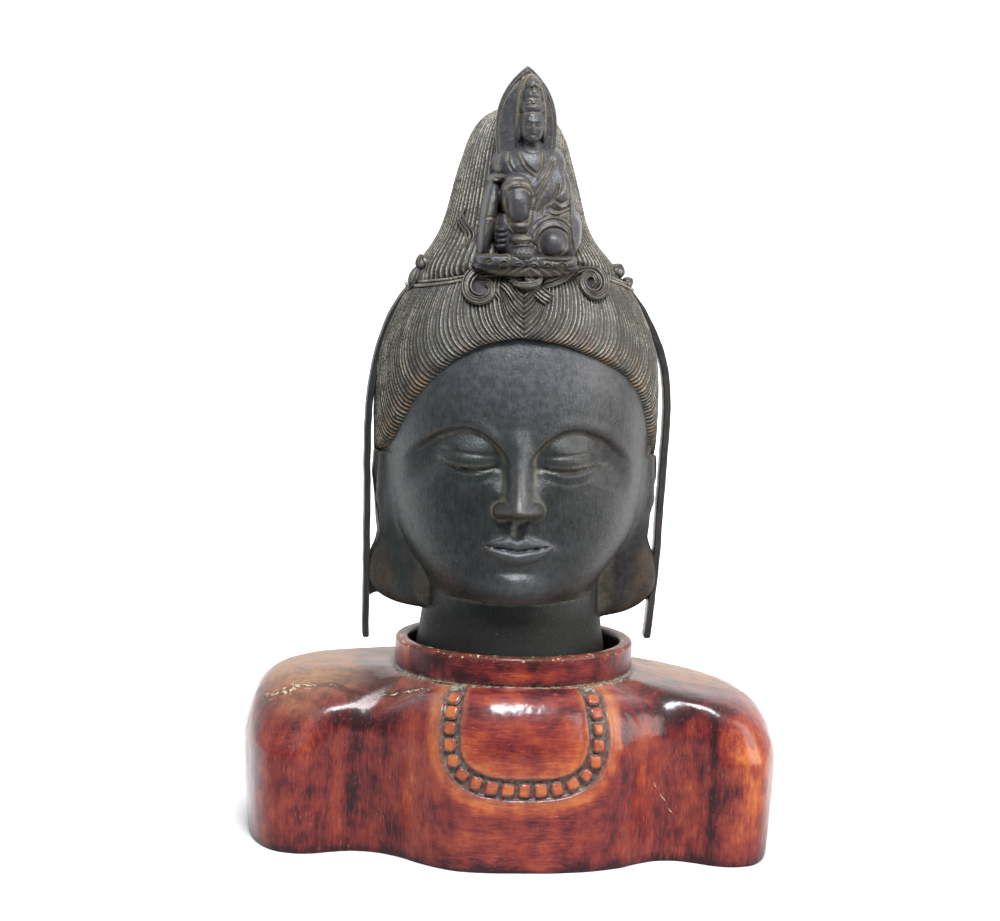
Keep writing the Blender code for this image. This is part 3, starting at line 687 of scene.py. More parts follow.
def on_chest(tree, line, count, first=0, last=1):
    """Points and outward normals on the chest, evenly spaced along a line drawn on its front."""
    hits = []
    for x, z in line:
        place, normal, _, _ = tree.ray_cast(Vector((x, -200, z)), Vector((0, 1, 0)))
        hits.append(tuple(place) + tuple(normal))
    hits = np.array(hits)
    length = running(np.linalg.norm(np.diff(hits[:, :3], axis=0), axis=1))
    at = np.linspace(first, last, count) * length[-1]
    return joined(*[np.interp(at, length, hits[:, k]) for k in range(6)])


chest_grid = plain_stand[:body_rows:2, ::2]
chest_faces = grid_quads(*chest_grid.shape[:2], around=True)
chest_tree = BVHTree.FromPolygons(chest_grid.reshape(-1, 3).tolist(), chest_faces.tolist())
necklace = on_chest(chest_tree, necklace_line(), 260)
print(f"necklace {np.linalg.norm(np.diff(necklace[:, :3], axis=0), axis=1).sum():.0f} mm along the chest")

# %% Carve the stand


def carve_stand(grid):
    """Pushes the stand's grid along its normals, and gives the numbers that its finish needs."""
    normal = outward(grid)
    x, y, z = grid[..., 0], grid[..., 1], grid[..., 2]
    wander = rough(grid, 9, 3)
    front = (y < -40) & (np.abs(x) < CHEST_HALF_WIDTH) & (z < COLLAR_FOOT + 0.3)
    away = np.full(x.shape, 99.0)
    away[front], _ = distance_to(grid[front], necklace[:, :3])
    away = away + 0.5 * wander
    channel = 1 - smoothstep(CHANNEL_HALF_WIDTH - 1.3, CHANNEL_HALF_WIDTH, away)
    channel[body_rows:] = 0
    lip = bell(away, CHANNEL_HALF_WIDTH + 1, 1.3)
    on_body = np.arange(len(grid))[:, None] < body_rows
    tool_marks = 0.3 * rough(grid * (1, 1, 0.45), 14, 5) + 0.12 * rough(grid * (1, 1, 0.6), 5, 6)
    inside = (np.abs(x) < 34) & (z > 42) & front & (away > CHANNEL_HALF_WIDTH)
    dome = PANEL_DOME * inside * smoothstep(CHANNEL_HALF_WIDTH, CHANNEL_HALF_WIDTH + 16, away)
    foot_groove = bell(z, COLLAR_FOOT - 0.3, 1) * (np.abs(np.hypot(x, y) - COLLAR_OUTER) < 2.6)
    push = (tool_marks * smoothstep(0, 8, z) + 0.25 * lip + dome) * on_body - CHANNEL_DEPTH * channel
    push = push - 0.5 * foot_groove + 0.05 * rough(grid, 3, 8)
    carved = grid + normal * push[..., None]
    carved[0, :, 2] = 0
    dusty = 1 - smoothstep(CHANNEL_HALF_WIDTH - 0.6, CHANNEL_HALF_WIDTH + 0.5, away)
    return carved, np.clip(dusty * on_body, 0, 1), foot_groove, lip, away


carved_stand, stand_hollow, foot_groove, necklace_lip, necklace_away = carve_stand(plain_stand)
print(f"channel cut over {100 * (stand_hollow > 0.5).mean():.1f} % of the grid")

# %% [markdown]
# ### Stain, wear and painted light on the stand
#
# The stain is uneven. It is thin and orange round the necklace and on the arms, and long brush marks run down
# the arms; a few narrow orange strips along the arms are painted highlights. Its dark is nearly black in the
# flutes and under the collar, and much of that dark is painted shade. A pale film lies on the shoulders,
# partly dust and partly a painted sheen where they face the bright tent. These broad areas are worked out
# here from each point's place, and the material adds everything finer.

# %% Where the stain is thin, thick or hazy, and where light and shade are painted
# Hills of thin orange stain; the narrow upright ones at x 86 and -90 are painted highlights along the arms
# beside the flutes.
THIN_STAIN = (
    (0.65, 114, 62, 12, 15), (0.45, 122, 40, 9, 30), (0.2, -108, 56, 5, 22), (0.25, -124, 32, 8, 24),
    (0.45, 114, 34, 6, 26), (0.5, -22, 15, 22, 9), (0.55, -56, 38, 7, 30), (0.45, 86, 44, 4, 34),
    (0.4, -90, 34, 3, 26),
)
# Dark hills: thick stain, and painted shade in and over the flutes and along the shoulders' front edges.
THICK_STAIN = (
    (0.8, -76, 68, 11, 7), (0.7, 78, 75, 12, 6), (0.7, -130, 70, 6, 9), (0.42, -84, 34, 4, 26),
    (0.95, 97.5, 34, 2.6, 42), (0.55, -96, 86, 22, 4.5), (0.55, 96, 80, 26, 5), (0.8, 4, 82, 26, 1.8),
    (0.25, 0, 64, 17, 8), (0.5, 20, 28, 5, 5), (0.35, 74, 30, 4, 34), (0.4, -60, 20, 5, 16),
)
# An orange patch on the collar's left, and a painted highlight streak across its front.
COLLAR_PATCHES = ((0.7, -59, 101, 4, 5), (0.6, 0, 97, 18, 2.5))
THIN_COAT = ((0.72, -74, 80, 15, 9), (0.3, -96, 74, 10, 7))


def stand_masks(grid, away):
    """Where the stain is thin or thick, where shade and highlights are painted, where the lacquer is hazy
    with dust and painted sheen, and where it is thin.

    Each hill in the tables above has a height, its x and z, and its half width and height in millimetres.
    """
    x, y, z = grid[..., 0], grid[..., 1], grid[..., 2]
    front = smoothstep(20, -25, y)
    drift = rough(grid * (1, 1, 0.5), 22, 11)
    mottle = rough(grid * (1, 1, 0.7), 9, 12)
    inside = (np.abs(x) < 34) & (z > 42) & (z < COLLAR_FOOT) & (y < -40)
    border = bell(away, 9, 5) * smoothstep(84, 60, z)
    panel = np.where(inside, 0.22 + 0.5 * border + 0.25 * bump(x, z, 0, 84, 30, 3.5), 0)
    rim = bell(away, 9.5, 4.5) * (np.abs(x) < 62) * (y < -30) * ~inside
    strokes = front * (bumps_at(x, z, THIN_STAIN) + 0.6 * bump(x, z + 0.6 * x, 60, 96, 5, 16))
    amber = panel + 0.85 * rim + strokes + 0.28 * drift + 0.16 * mottle
    # Dark stain, painted shade in the flutes and along the shoulders' edges, and darker towards the bottom.
    dark = front * bumps_at(x, z, THICK_STAIN) * (0.75 + 0.5 * mottle) + smoothstep(5, 0, z) * 0.5
    inside_collar = (np.hypot(x, y) < COLLAR_INNER + 0.5) & (z > COLLAR_FOOT - 6)
    on_collar = (z > COLLAR_FOOT + 0.5) & ~inside_collar
    # An orange patch, and a painted highlight streak across the collar's front.
    patch = on_collar * bumps_at(x, z, COLLAR_PATCHES)
    # The collar is darker, most at its left, and the recess inside it is painted black as shade.
    dark = dark + on_collar * bump(x, z, -49, 99, 7, 8) * 0.5
    dark = np.where(inside_collar, 1, np.clip(dark + 0.2 * drift + 0.24 * on_collar, 0, 1))
    below_collar = z < COLLAR_FOOT + 0.5
    # Painted sheen: the shoulders' tops, facing the bright tent, get a pale film, with some dust.
    lit_top = smoothstep(WALL_TOP + 14, COLLAR_FOOT - 4, z) * below_collar
    # Painted shade: the dips above the flutes, and a patch on the left shoulder beside the collar.
    dip = front * bump(np.abs(x), z, 72, 86, 18, 8)
    shaded = bump(x, y, -68, -4, 13, 26) * lit_top
    haze = lit_top * smoothstep(44, 78, np.hypot(x, y)) * smoothstep(-66, -30, y - 0.25 * np.abs(x))
    haze = haze * (1 - 0.8 * dip) * (1 - 0.75 * shaded)
    # More pale film, dust and painted sheen, along the necklace's outer edge and low on the left shoulder.
    haze = haze + 0.5 * rim * smoothstep(58, 80, z) + 0.55 * front * bump(x, z, -114, 75, 13, 6)
    dark = dark + 0.45 * dip * below_collar + 0.6 * shaded
    thin_coat = front * bumps_at(x, z, THIN_COAT)
    return np.clip(amber + patch, 0, 1), dark, np.clip(haze, 0, 1), np.clip(thin_coat, 0, 1)


amber, dark, haze, thin_coat = stand_masks(plain_stand, necklace_away)
print(f"stain is thin on {100 * (amber > 0.5).mean():.0f} %, thick on {100 * (dark > 0.5).mean():.0f} %")

# %% [markdown]
# ### Lacquer
#
# The finish is a wood stain under a glossy lacquer. The base colour goes from plum-brown through red-brown to
# orange by the thinness of the stain, with painted shade and painted highlights mixed in, and a pale film of
# dust and painted sheen over it. The lacquer is the shader's coat. It is clearest where nothing lies on it,
# and it has a bump of its own, with softer waves than the grain below, that breaks up the highlights.
#
# The left shoulder has a long shallow crack with chips of bare wood, and the right flute a curved scratch.
# `drawn_gap` says how far a place is from such a line. The line is a curve with a few handles, so it stays
# sharp at any distance, which numbers stored on the mesh could not do.

# %% Lacquered wood
DARK_STAIN = (0.032, 0.0075, 0.01)
RED_STAIN = (0.15, 0.018, 0.0185)
WARM_STAIN = (0.27, 0.044, 0.023)
ORANGE_STAIN = (0.45, 0.12, 0.03)
STAIN_STEPS = ((0.02, DARK_STAIN), (0.3, RED_STAIN), (0.62, WARM_STAIN), (0.95, ORANGE_STAIN))
RUBBED_STAIN = (0.45, 0.26, 0.13)
WORN_STAIN = (0.4, 0.19, 0.09)
HAZE = (0.38, 0.215, 0.115)
BARE_WOOD = (0.62, 0.52, 0.32)
GREY_DUST = (0.07, 0.072, 0.07)
PALE_DUST = (0.3, 0.3, 0.23)
BRUSH, THIN_BRUSH, GRAIN = (0.0048, 0.026), (0.0013, 0.008), (0.0006, 0.0045)
CRACK = (
    (-0.131, 0.0745), (-0.124, 0.077), (-0.117, 0.0795), (-0.108, 0.0825), (-0.098, 0.083),
    (-0.086, 0.0815), (-0.076, 0.08), (-0.066, 0.0805), (-0.055, 0.0835), (-0.046, 0.087),
)
SCRATCH = ((0.0245, 0.079), (0.0275, 0.0765), (0.033, 0.0733), (0.038, 0.07), (0.043, 0.0678))


def drawn_gap(along, across, handles):
    """Distance, in metres across, from a line through the handles, which run along rising values."""
    first, last = handles[0][0], handles[-1][0]
    low = min(h[1] for h in handles)
    high = max(h[1] for h in handles)
    drawn = node(along.tree, "FloatCurve", {"Value": along.between(first, last, kind="LINEAR")})
    points = drawn.mapping.curves[0].points
    places = [((a - first) / (last - first), (b - low) / (high - low)) for a, b in handles]
    points[0].location, points[1].location = places[0], places[-1]
    for place in places[1:-1]:
        points.new(*place)
    drawn.mapping.update()
    line = Wire(drawn.outputs[0]).between(0, 1, low, high, kind="LINEAR")
    past_the_ends = abs(along - (first + last) / 2) - (last - first) / 2
    return abs(across - line) + most(past_the_ends, 0)


def stain_tone(tree, sideways):
    """How thin the stain is, from 0 to 1: brush marks, blotches and the areas stored on the mesh, which also
    carry painted shade and painted highlights.
    """
    upright = (sideways + clouds(tree, 0.03, 2) * 0.05).between(0.045, 0.085)
    brush, thin_brush, grain = [
        use_group(tree, streaks, {"Upright": upright, "Width": width, "Length": length})
        for width, length in (BRUSH, THIN_BRUSH, GRAIN)
    ]
    layers = (
        (brush["Value"], 0.2), (thin_brush["Value"], 0.2), (grain["Value"], 0.15),
        (clouds(tree, 0.01, 5, 0.65).between(0.3, 0.72), 0.28),
        (clouds(tree, 0.04, 3, 0.6).between(0.3, 0.7), 0.16), (kept(tree, "amber"), 0.62),
    )
    tone = kept(tree, "dark") * -0.52
    for value, share in layers:
        tone = tone + value * share
    return (tone - 0.2).clamped(), grain["Height"]


def lost_lacquer(tree, x, y, z):
    """Where the wood is bare, where lacquer has cracked or flaked off, and the dark seam beside the crack."""
    wobble = calc("MULTIPLY_ADD", clouds(tree, 0.006, 4, 0.6), 0.0045, -0.00225)
    on_front = y.between(0, -0.02)
    crack_gap = drawn_gap(x, z + wobble, CRACK)
    scratch_gap = drawn_gap(z, x + wobble * 0.5, SCRATCH)
    broken = clouds(tree, 0.0042, 4).between(0.47, 0.56)
    crack = (crack_gap.between(0.00028, 0.00006) * (broken + 0.03)).clamped()
    crack = crack * (1 - abs(x + 0.082).between(0.016, 0.008))
    flakes = (clouds(tree, 0.0026, 4, 0.65) - crack_gap * 45).between(0.5, 0.54)
    gone = most(crack, flakes * x.between(-0.098, -0.116))
    scratch = (scratch_gap.between(0.0004, 0.0001) * (broken + 0.1)).clamped()
    nicks = kept(tree, "nick") * clouds(tree, 0.003, 4, 0.65).between(0.6, 0.66)
    bare = most(most(gone, scratch * 0.6) * on_front, nicks)
    seam = (crack_gap - 0.0006).between(0.0009, 0) * on_front
    return bare, gone, seam


def lacquered_wood(name):
    finish, tree, shader = new_finish(name)
    x, y, z = parts_of(object_place(tree))
    tone, grain = stain_tone(tree, abs(x))
    stain = node(tree, "ValToRGB", {0: tone})
    steps = stain.color_ramp.elements
    for place, _ in STAIN_STEPS[1:-1]:
        steps.new(place)
    for step, (place, colour) in zip(steps, STAIN_STEPS):
        step.position, step.color = place, (*colour, 1)
    specks = clouds(tree, 0.0011, 2).between(0.69, 0.77)
    rubs = grain.between(0.6, 0.72) * clouds(tree, 0.014, 3).between(0.45, 0.62)
    colour = mix(most(specks * 0.35, rubs * 0.45), Wire(stain.outputs[0]), RUBBED_STAIN)
    # The pale film is dust and a painted sheen.
    film = kept(tree, "haze") * clouds(tree, 0.01, 5, 0.7).between(0.28, 0.7, 0.35, 0.95)
    aged = use_group(tree, dust_and_wear, {
        "Colour": mix(film, colour, HAZE), "Hollow": kept(tree, "hollow"), "Ridge": kept(tree, "ridge"),
        "Dust Colour": GREY_DUST, "Wear Colour": WORN_STAIN, "Dust Amount": 1, "Wear Amount": 0.6,
        "Patch Size": 0.004,
    })
    pale = (kept(tree, "pale") * clouds(tree, 0.0022, 4, 0.7).between(0.44, 0.6)).clamped()
    bare, gone, seam = lost_lacquer(tree, x, y, z)
    colour = mix(seam * 0.55, mix(pale, aged["Colour"], PALE_DUST), DARK_STAIN)
    dull = most(most(aged["Dust"], bare), pale)
    foot = COLLAR_FOOT * MM
    clear = (0.9 - film * 0.75) * z.between(foot, foot + 0.002, 1, 0.4) * (1 - kept(tree, "thin_coat"))
    height = grain * 0.5 + clouds(tree, 0.003, 4, 0.6) - gone * 1.2
    plug(shader, {
        "Base Color": mix(bare, colour, BARE_WOOD),
        "Roughness": calc("MULTIPLY_ADD", dull, 0.3, 0.4),
        "Specular IOR Level": 0.15,
        "Normal": bumps(height, 0.3, 0.0003),
        "Coat Weight": (clear * (1 - dull)).clamped(),
        "Coat Roughness": 0.17,
        "Coat IOR": 1.45,
        "Coat Normal": bumps(clouds(tree, 0.0045, 5, 0.62), 0.35, 0.0004),
    })
    return finish


body = skin("carved_shoulders", carved_stand, close_low=True, close_high=True)
rim_nicks = smoothstep(COLLAR_TOP - 3.5, COLLAR_TOP - 0.5, plain_stand[..., 2])
rim_nicks = rim_nicks * (np.hypot(plain_stand[..., 0], plain_stand[..., 1]) > COLLAR_INNER + 0.3)
wood_finish = lacquered_wood("lacquered_wood")
place_piece(
    body, *STAND, wood_finish, amber=amber, dark=dark, haze=haze, thin_coat=thin_coat, nick=rim_nicks,
    hollow=np.clip(stand_hollow + foot_groove * 0.6, 0, 1),
    pale=np.clip(foot_groove * 1.2 + 0.35 * stand_hollow, 0, 1),
    ridge=np.clip(necklace_lip - stand_hollow + 0.4 * rim_nicks, 0, 1),
)

# %% [markdown]
# ### Beads
#
# The necklace's beads are not separate: the carver left them standing in the channel, each cut square by eye
# with four short strokes and slightly domed. One small pillow of points is made, and each bead is a copy with
# its own small changes of size, turn and height. They are one mesh, because they are all one block of wood.

# %% Beads
BEADS = 19
BEAD_SIZE = 7.2
BEAD_PROUD = 0.9
BEAD_DEPTH = 1.9
BEAD_SPAN = (0.03, 0.97)
PILLOW_STEPS = 13


def bead_pillow():
    """A square domed pillow: rows and columns over its top, with a skirt that sinks into the channel."""
    u = np.sin(np.linspace(-1, 1, PILLOW_STEPS) * pi / 2)
    across, along = np.meshgrid(u, u)
    top = (1 - np.abs(across) ** 4) ** 0.5 * (1 - np.abs(along) ** 4) ** 0.5
    round_off = 1 - 0.17 * (across * along) ** 2
    return joined(across * round_off, along * round_off, top)


def bead_directions(row):
    """A bead's outward, downward and sideways directions, and how far it turns to follow the necklace."""
    out = Vector(row[3:]).normalized()
    down = (Vector((0, 0, -1)) - out * Vector((0, 0, -1)).dot(out)).normalized()
    side = out.cross(down)
    nearest = np.argmin(np.linalg.norm(necklace[:, :3] - row[:3], axis=1))
    run = Vector(necklace[min(nearest + 3, 259), :3] - necklace[max(nearest - 3, 0), :3]).normalized()
    return out, down, side, atan2(run.dot(down), run.dot(side)) if abs(row[0]) < 31 else pi / 2


def necklace_beads():
    rng = np.random.default_rng(7)
    pillow = bead_pillow().reshape(-1, 3)
    quads = grid_quads(PILLOW_STEPS, PILLOW_STEPS, False)[:, ::-1]
    index = np.arange(PILLOW_STEPS**2).reshape(PILLOW_STEPS, PILLOW_STEPS)
    border = np.concatenate([index[0], index[1:, -1], index[-1, -2::-1], index[-2:0:-1, 0]])
    points, faces = [], []
    for row in on_chest(chest_tree, necklace[:, [0, 2]], BEADS, *BEAD_SPAN):
        out, down, side, twist = bead_directions(row)
        twist += rng.normal(0, 0.07)
        wide, tall = BEAD_SIZE / 2 * rng.uniform(0.86, 1.04, 2)
        height = BEAD_DEPTH + rng.uniform(-0.15, 0.25)
        lean = rng.normal(0, 0.05, 2)
        start = len(points)
        faces += (quads + start).tolist() + [(border + start).tolist()]
        for a, b, c in pillow:
            skew = 1 + 0.1 * a * lean[0] / 0.05
            local_a = a * wide * cos(twist) - b * tall * skew * sin(twist)
            local_b = a * wide * sin(twist) + b * tall * skew * cos(twist)
            lift = BEAD_PROUD - height + c * height + (lean[0] * local_a + lean[1] * local_b)
            points.append(Vector(row[:3]) + side * local_a + down * local_b + out * lift)
    return np.array([tuple(point) for point in points]), faces, np.tile(pillow[:, 2], BEADS)


bead_points, bead_faces, bead_top = necklace_beads()
bead_points = bead_points + 0.12 * rough(bead_points, 1.8, 31)[:, None]
beads = new_mesh("necklace_beads", bead_points, bead_faces)
place_piece(
    beads, *STAND, wood_finish,
    hollow=1 - smoothstep(0.55, 0.85, bead_top), ridge=smoothstep(0.9, 1, bead_top) * 0.6,
    amber=0.35 + smoothstep(0.6, 0.9, bead_top) * 0.5, pale=(1 - smoothstep(0.35, 0.7, bead_top)) * 0.5,
)

# %% [markdown]
# ## The bronze
#
# The head is one casting, chased by hand and given a dark patina. Its colour is nearly black, a little green
# in the smooth parts, browner or bluer in patches, and browner and lighter towards its right side, partly
# brown patina and partly painted warm light from the right. The forehead, the nose's ridge, the chin and the
# mouth carry a painted highlight, a lighter and bluer patina, and more wax. The neck under the chin and the
# sides beside the lobes carry painted shade, a near-black patina, and are duller. Fine upright scratches from
# the chasing catch the light, tan dust has settled in the hair and the crown, and a few worn tips show the
# metal's warm colour.
#
# Each piece keeps up to five numbers for this finish: `hollow`, `ridge`, `polish`, `grime` and `warm`. One
# that a piece doesn't store reads as zero.

# %% Dark bronze
BLACK_PATINA = (0.01, 0.0118, 0.0115)
GREEN_PATINA = (0.02, 0.027, 0.024)
BROWN_PATINA = (0.048, 0.033, 0.033)
BLUE_PATINA = (0.03, 0.033, 0.048)
POLISHED_PATINA = (0.084, 0.087, 0.103)
CHASED_PATINA = (0.075, 0.08, 0.085)
GRIME = (0.0065, 0.0066, 0.005)
OLIVE_DUST = (0.28, 0.235, 0.15)
PALE_SPECKS = (0.26, 0.24, 0.19)
GREY_RIDGE = (0.54, 0.51, 0.41)
WORN_BRONZE = (0.42, 0.24, 0.11)


def dark_bronze(name, dust, ridges, worn, brown, scratch, matt, grit, patch=0.007):
    """A patina. dust, ridges: how much of each shows. worn: the ridges' colour. matt: the least roughness."""
    finish, tree, shader = new_finish(name)
    broad = clouds(tree, 0.035, 4, 0.6).between(0.34, 0.66)
    fine = clouds(tree, 0.0035, 4, 0.65).between(0.36, 0.66)
    sideways = parts_of(object_place(tree))[0]
    # Browner and lighter towards positive x: partly brown patina, partly painted warm light from the right.
    browner = (sideways.between(-0.02, 0.075, 0, 0.55) + brown).clamped()
    colour = mix(browner * (fine + 0.3), mix(broad, BLACK_PATINA, GREEN_PATINA), BROWN_PATINA)
    colour = mix(clouds(tree, 0.007, 4, 0.6).between(0.45, 0.7, 0, 0.35), colour, BLUE_PATINA)
    # Painted highlight: a lighter, bluer patina where the mesh stores it, with more wax.
    polish = kept(tree, "polish") * (fine * 0.5 + 0.5)
    colour = mix(polish, colour, POLISHED_PATINA)
    chased = use_group(tree, streaks, {"Upright": 1, "Width": 0.0006, "Length": 0.009})
    colour = mix(chased["Value"] * (polish * 0.5 + 0.25), colour, CHASED_PATINA)
    # Painted shade, with grime: a near-black, duller patina where the mesh stores it.
    grime = kept(tree, "grime") * 0.8
    aged = use_group(tree, dust_and_wear, {
        "Colour": mix(grime, colour, GRIME), "Hollow": kept(tree, "hollow"), "Ridge": kept(tree, "ridge"),
        "Dust Colour": OLIVE_DUST, "Wear Colour": worn, "Dust Amount": dust, "Wear Amount": ridges,
        "Patch Size": patch,
    })
    colour = mix((kept(tree, "warm") * (fine + 0.1)).clamped(), aged["Colour"], WORN_BRONZE)
    dull = most(aged["Dust"], grime)
    wax = ((1 - dull).clamped() * (fine + 0.35)).clamped() * calc("MULTIPLY_ADD", polish, 0.35, 0.42)
    relief = bumps(chased["Height"] * scratch + clouds(tree, 0.0012, 4, 0.7) * grit, 0.5, 0.0005)
    plug(shader, {
        "Base Color": mix(clouds(tree, 0.0009, 2).between(0.68, 0.75) * 0.35, colour, PALE_SPECKS),
        "Metallic": 0.2,
        "Roughness": (fine * 0.16 + dull * 0.35 + matt).clamped(),
        "Specular IOR Level": 0.38,
        "Normal": relief,
        "Coat Weight": wax,
        "Coat Roughness": 0.21,
        "Coat Normal": relief,
    })
    return finish


face_finish = dark_bronze("bronze_skin", 0.4, 0.16, WORN_BRONZE, 0, 0.7, 0.32, 0.75)
hair_finish = dark_bronze("bronze_hair", 0.08, 1, GREY_RIDGE, 0.8, 0.2, 0.44, 0.9, 0.012)
scroll_finish = dark_bronze("bronze_scrolls", 0.6, 0.6, GREY_RIDGE, 0.9, 0.2, 0.42, 1, 0.008)
figure_finish = dark_bronze("bronze_figure", 0.85, 0.6, OLIVE_DUST, 0.95, 0.2, 0.32, 1.2)
print("bronze finishes:", face_finish.name, hair_finish.name, scroll_finish.name, figure_finish.name)

# %% [markdown]
# ## Face, ears and neck
#
# The casting's skin goes round the head's own axis: for every angle and height a formula gives a radius. The
# skull and the neck are ovals that change with height, joined by a soft maximum so that the jaw flows into
# the neck. The face is then laid on top as *relief*: a sum of small hills and valleys in millimetres, placed
# by the old rule that divides a face into equal thirds, with the eyes lowered in meditation.

# %% The head's plain form
HEAD_X = -2
HEAD_TURN = radians(-3)
HAIRLINE = 265
BROW = 220
EYE_LINE = 205
NOSE_BASE = 176
MOUTH = 161
CHIN = 142
EYE_X = 26
NECK = ((80, 48.6), (100, 48.6), (112, 47), (126, 45.5), (150, 45), (200, 45))
NECK_RADIUS = 45.5
SOFT_JOIN = 4
SKULL = (
    (127, -27, 15, 18, 15), (131, -23, 26, 31.5, 22), (137, -19, 36.5, 39.5, 27),
    (145, -16, 45.5, 44.5, 31), (155, -11, 54, 50, 40), (166, -6, 61, 55, 54), (180, -1, 65.5, 60.5, 66),
    (196, 0, 67.5, 62, 73), (215, 0, 68, 63, 77), (240, 0, 68, 61.5, 77), (262, 0, 64, 57, 72),
    (282, 0, 54, 48, 62), (300, 0, 38, 34, 44),
)


def stations_at(stations, z):
    """The stations' other columns at height z, read from a smooth line through them."""
    line = curve_through(stations, 8)
    return [np.interp(z, line[:, 0], line[:, k]) for k in range(1, line.shape[1])]


def section_radius(station, angle):
    """Radius at each angle of an oval whose middle may sit off the head's axis."""
    middle, half, front, back = station
    turn = np.linspace(0, pi, 361)
    depth = np.where(turn < pi / 2, front, back)
    x = half * np.sin(turn) ** 0.95
    y = middle - depth * np.cos(turn)
    return np.interp(np.abs(angle), np.arctan2(x, -y), np.hypot(x, y))


print(f"face from the chin at {CHIN:.0f} mm to the hairline at {HAIRLINE:.0f} mm")

# %% [markdown]
# ### Modelling the face
#
# Each feature is a few soft shapes with one crisp edge where a chaser's tool would leave it: the brow's
# crest that runs into the nose, the rim of the upper lid, the border of the lips. Crispness comes from how
# steep the step is, so a narrow smoothstep or a high power is used there and wide bells everywhere else.

# %% Features of the face


def brow_line(x):
    """Height of the brow's crest at a distance x from the middle."""
    inner = BROW + 2 - 13.5 * np.clip((27 - x) / 21, 0, 1.4) ** 2
    outer = BROW + 2 - 11 * np.clip((x - 27) / 24, 0, 1.4) ** 2
    return np.where(x < 27, inner, outer)


def lid_line(x):
    """Height of the upper lid's edge: it dips under the eye and rises a little at the outer corner."""
    across = (x - EYE_X) / 14.5
    return EYE_LINE - 2.2 - 2.2 * (1 - across**2) + 1 * across


def eyes(x, z):
    below = brow_line(x) - z
    side_fade = smoothstep(60, 42, x)
    socket = smoothstep(0, 4.5, below) * (1 - smoothstep(6, 24, below - 4)) * side_fade
    relief = -4.4 * socket * smoothstep(3, 9, x)
    relief += 0.45 * bell(below, -1.8, 2.8) * side_fade * smoothstep(6, 14, x)
    tall = np.where(z > EYE_LINE + 1.5, 9.6, 7.6)
    relief += 4.4 * np.exp(-np.abs((x - EYE_X) / 13.8) ** 3 - np.abs((z - EYE_LINE - 1.5) / tall) ** 2.4)
    wide = np.clip(1 - ((x - EYE_X) / 14.5) ** 2, 0, 1)
    above = z - lid_line(x)
    opening = 1 + 2.6 * wide
    under_lid = smoothstep(0.35, -0.45, above) * smoothstep(-3, 0.2, above + opening)
    relief -= 1.15 * wide**0.4 * under_lid
    relief -= 1 * wide**0.4 * bell(above, -0.75, 0.55)
    relief += 0.55 * wide**0.5 * bell(above, 0.8, 0.8)
    relief += 0.7 * wide**0.6 * bell(above + opening, -0.4, 0.9)
    relief -= 0.45 * wide**0.6 * bell(above + opening, -3.4, 1.5)
    crease = np.clip(1 - ((x - EYE_X - 0.5) / 15.5) ** 2, 0, 1)
    relief -= 0.6 * crease**0.5 * bell(above - 4.6, 2.4 * crease, 0.75)
    relief -= 0.9 * bump(x, z, EYE_X + 15.5, EYE_LINE - 2, 3, 1.2)
    relief -= 1.1 * bump(x, z, EYE_X - 14.8, EYE_LINE - 4.6, 2.2, 1.3)
    return relief


def nose(x, z):
    along = np.clip((222 - z) / 41, 0, 1)
    ridge = (0.8 + 13.4 * along**1.15) * smoothstep(174.4, 180.4, z) * smoothstep(238, 214, z)
    crisp = np.exp(-((x / (4.3 + 2.4 * along**3)) ** 2.2))
    relief = ridge * (0.66 * crisp + 0.34 * bell(x, 0, 9))
    relief += 1.2 * bump(x, z, 0, 180.5, 6, 5)
    wing = np.clip(1 - ((x - 7.8) / 4.8) ** 2 - ((z - NOSE_BASE - 4.2) / 4.9) ** 2, 0, 1)
    relief += 3.6 * wing**0.75 * (1 - 0.6 * crisp)
    relief -= 0.4 * bump(x, z, 13, NOSE_BASE + 5, 1.8, 4.6)
    relief -= 1.9 * bump(x, z, 4.8, NOSE_BASE - 0.4, 2.4, 1.2)
    relief -= 0.8 * bump(x, z, 0, NOSE_BASE - 2, 8, 1.8)
    return relief


def mouth(x, z):
    line = MOUTH + 2.1 * (x / 17) ** 2 - 0.7 * bump(x, z, 0, MOUTH, 3, 40)
    top = MOUTH + 6 + 1.1 * bell(x, 4.2, 2.8) - 4.2 * (x / 17) ** 2
    bottom = MOUTH - 8.6 + 9.2 * (x / 17.5) ** 2
    relief = 2.6 * bump(x, z, 0, MOUTH, 24, 15)
    relief -= 1.1 * bump(x, z, 0, MOUTH + 10.6, 2.2, 4.4)
    relief += 0.5 * bump(x, z, 4.1, MOUTH + 10, 1.8, 4.2)
    upper = np.clip((z - line) / np.maximum(top - line, 0.4), 0, 1)
    lower = np.clip((line - z) / np.maximum(line - bottom, 0.4), 0, 1)
    ends = np.clip(1 - (x / 17.4) ** 2, 0, 1)
    relief += 2.5 * ends**0.55 * np.sin(pi * upper**0.7) ** 0.65
    relief += 3.3 * ends**0.7 * np.sin(pi * lower**0.85) ** 0.62
    relief -= 0.9 * ends**0.4 * bell(z, line, 1)
    relief += 0.35 * ends**0.5 * bell(z - top, 0.5, 0.6)
    relief -= 0.7 * bump(x, z, 18.2, MOUTH + 2.5, 3.2, 2.6)
    relief -= 1.7 * bump(x, z, 0, MOUTH - 11.6, 12, 3)
    return relief


def face_relief(side, z):
    """How far the face stands out from the plain skull, in millimetres, mirrored about the middle."""
    x = np.abs(side)
    relief = eyes(x, z) + nose(x, z) + mouth(x, z)
    relief += 3.3 * bump(x, z, 0, CHIN - 1.5, 12.5, 8)
    relief += 2.2 * bump(x, z, 33, 180, 19, 20)
    return relief


print("face relief at the nose tip:", round(float(face_relief(np.array([0]), np.array([182]))[0]), 1), "mm")

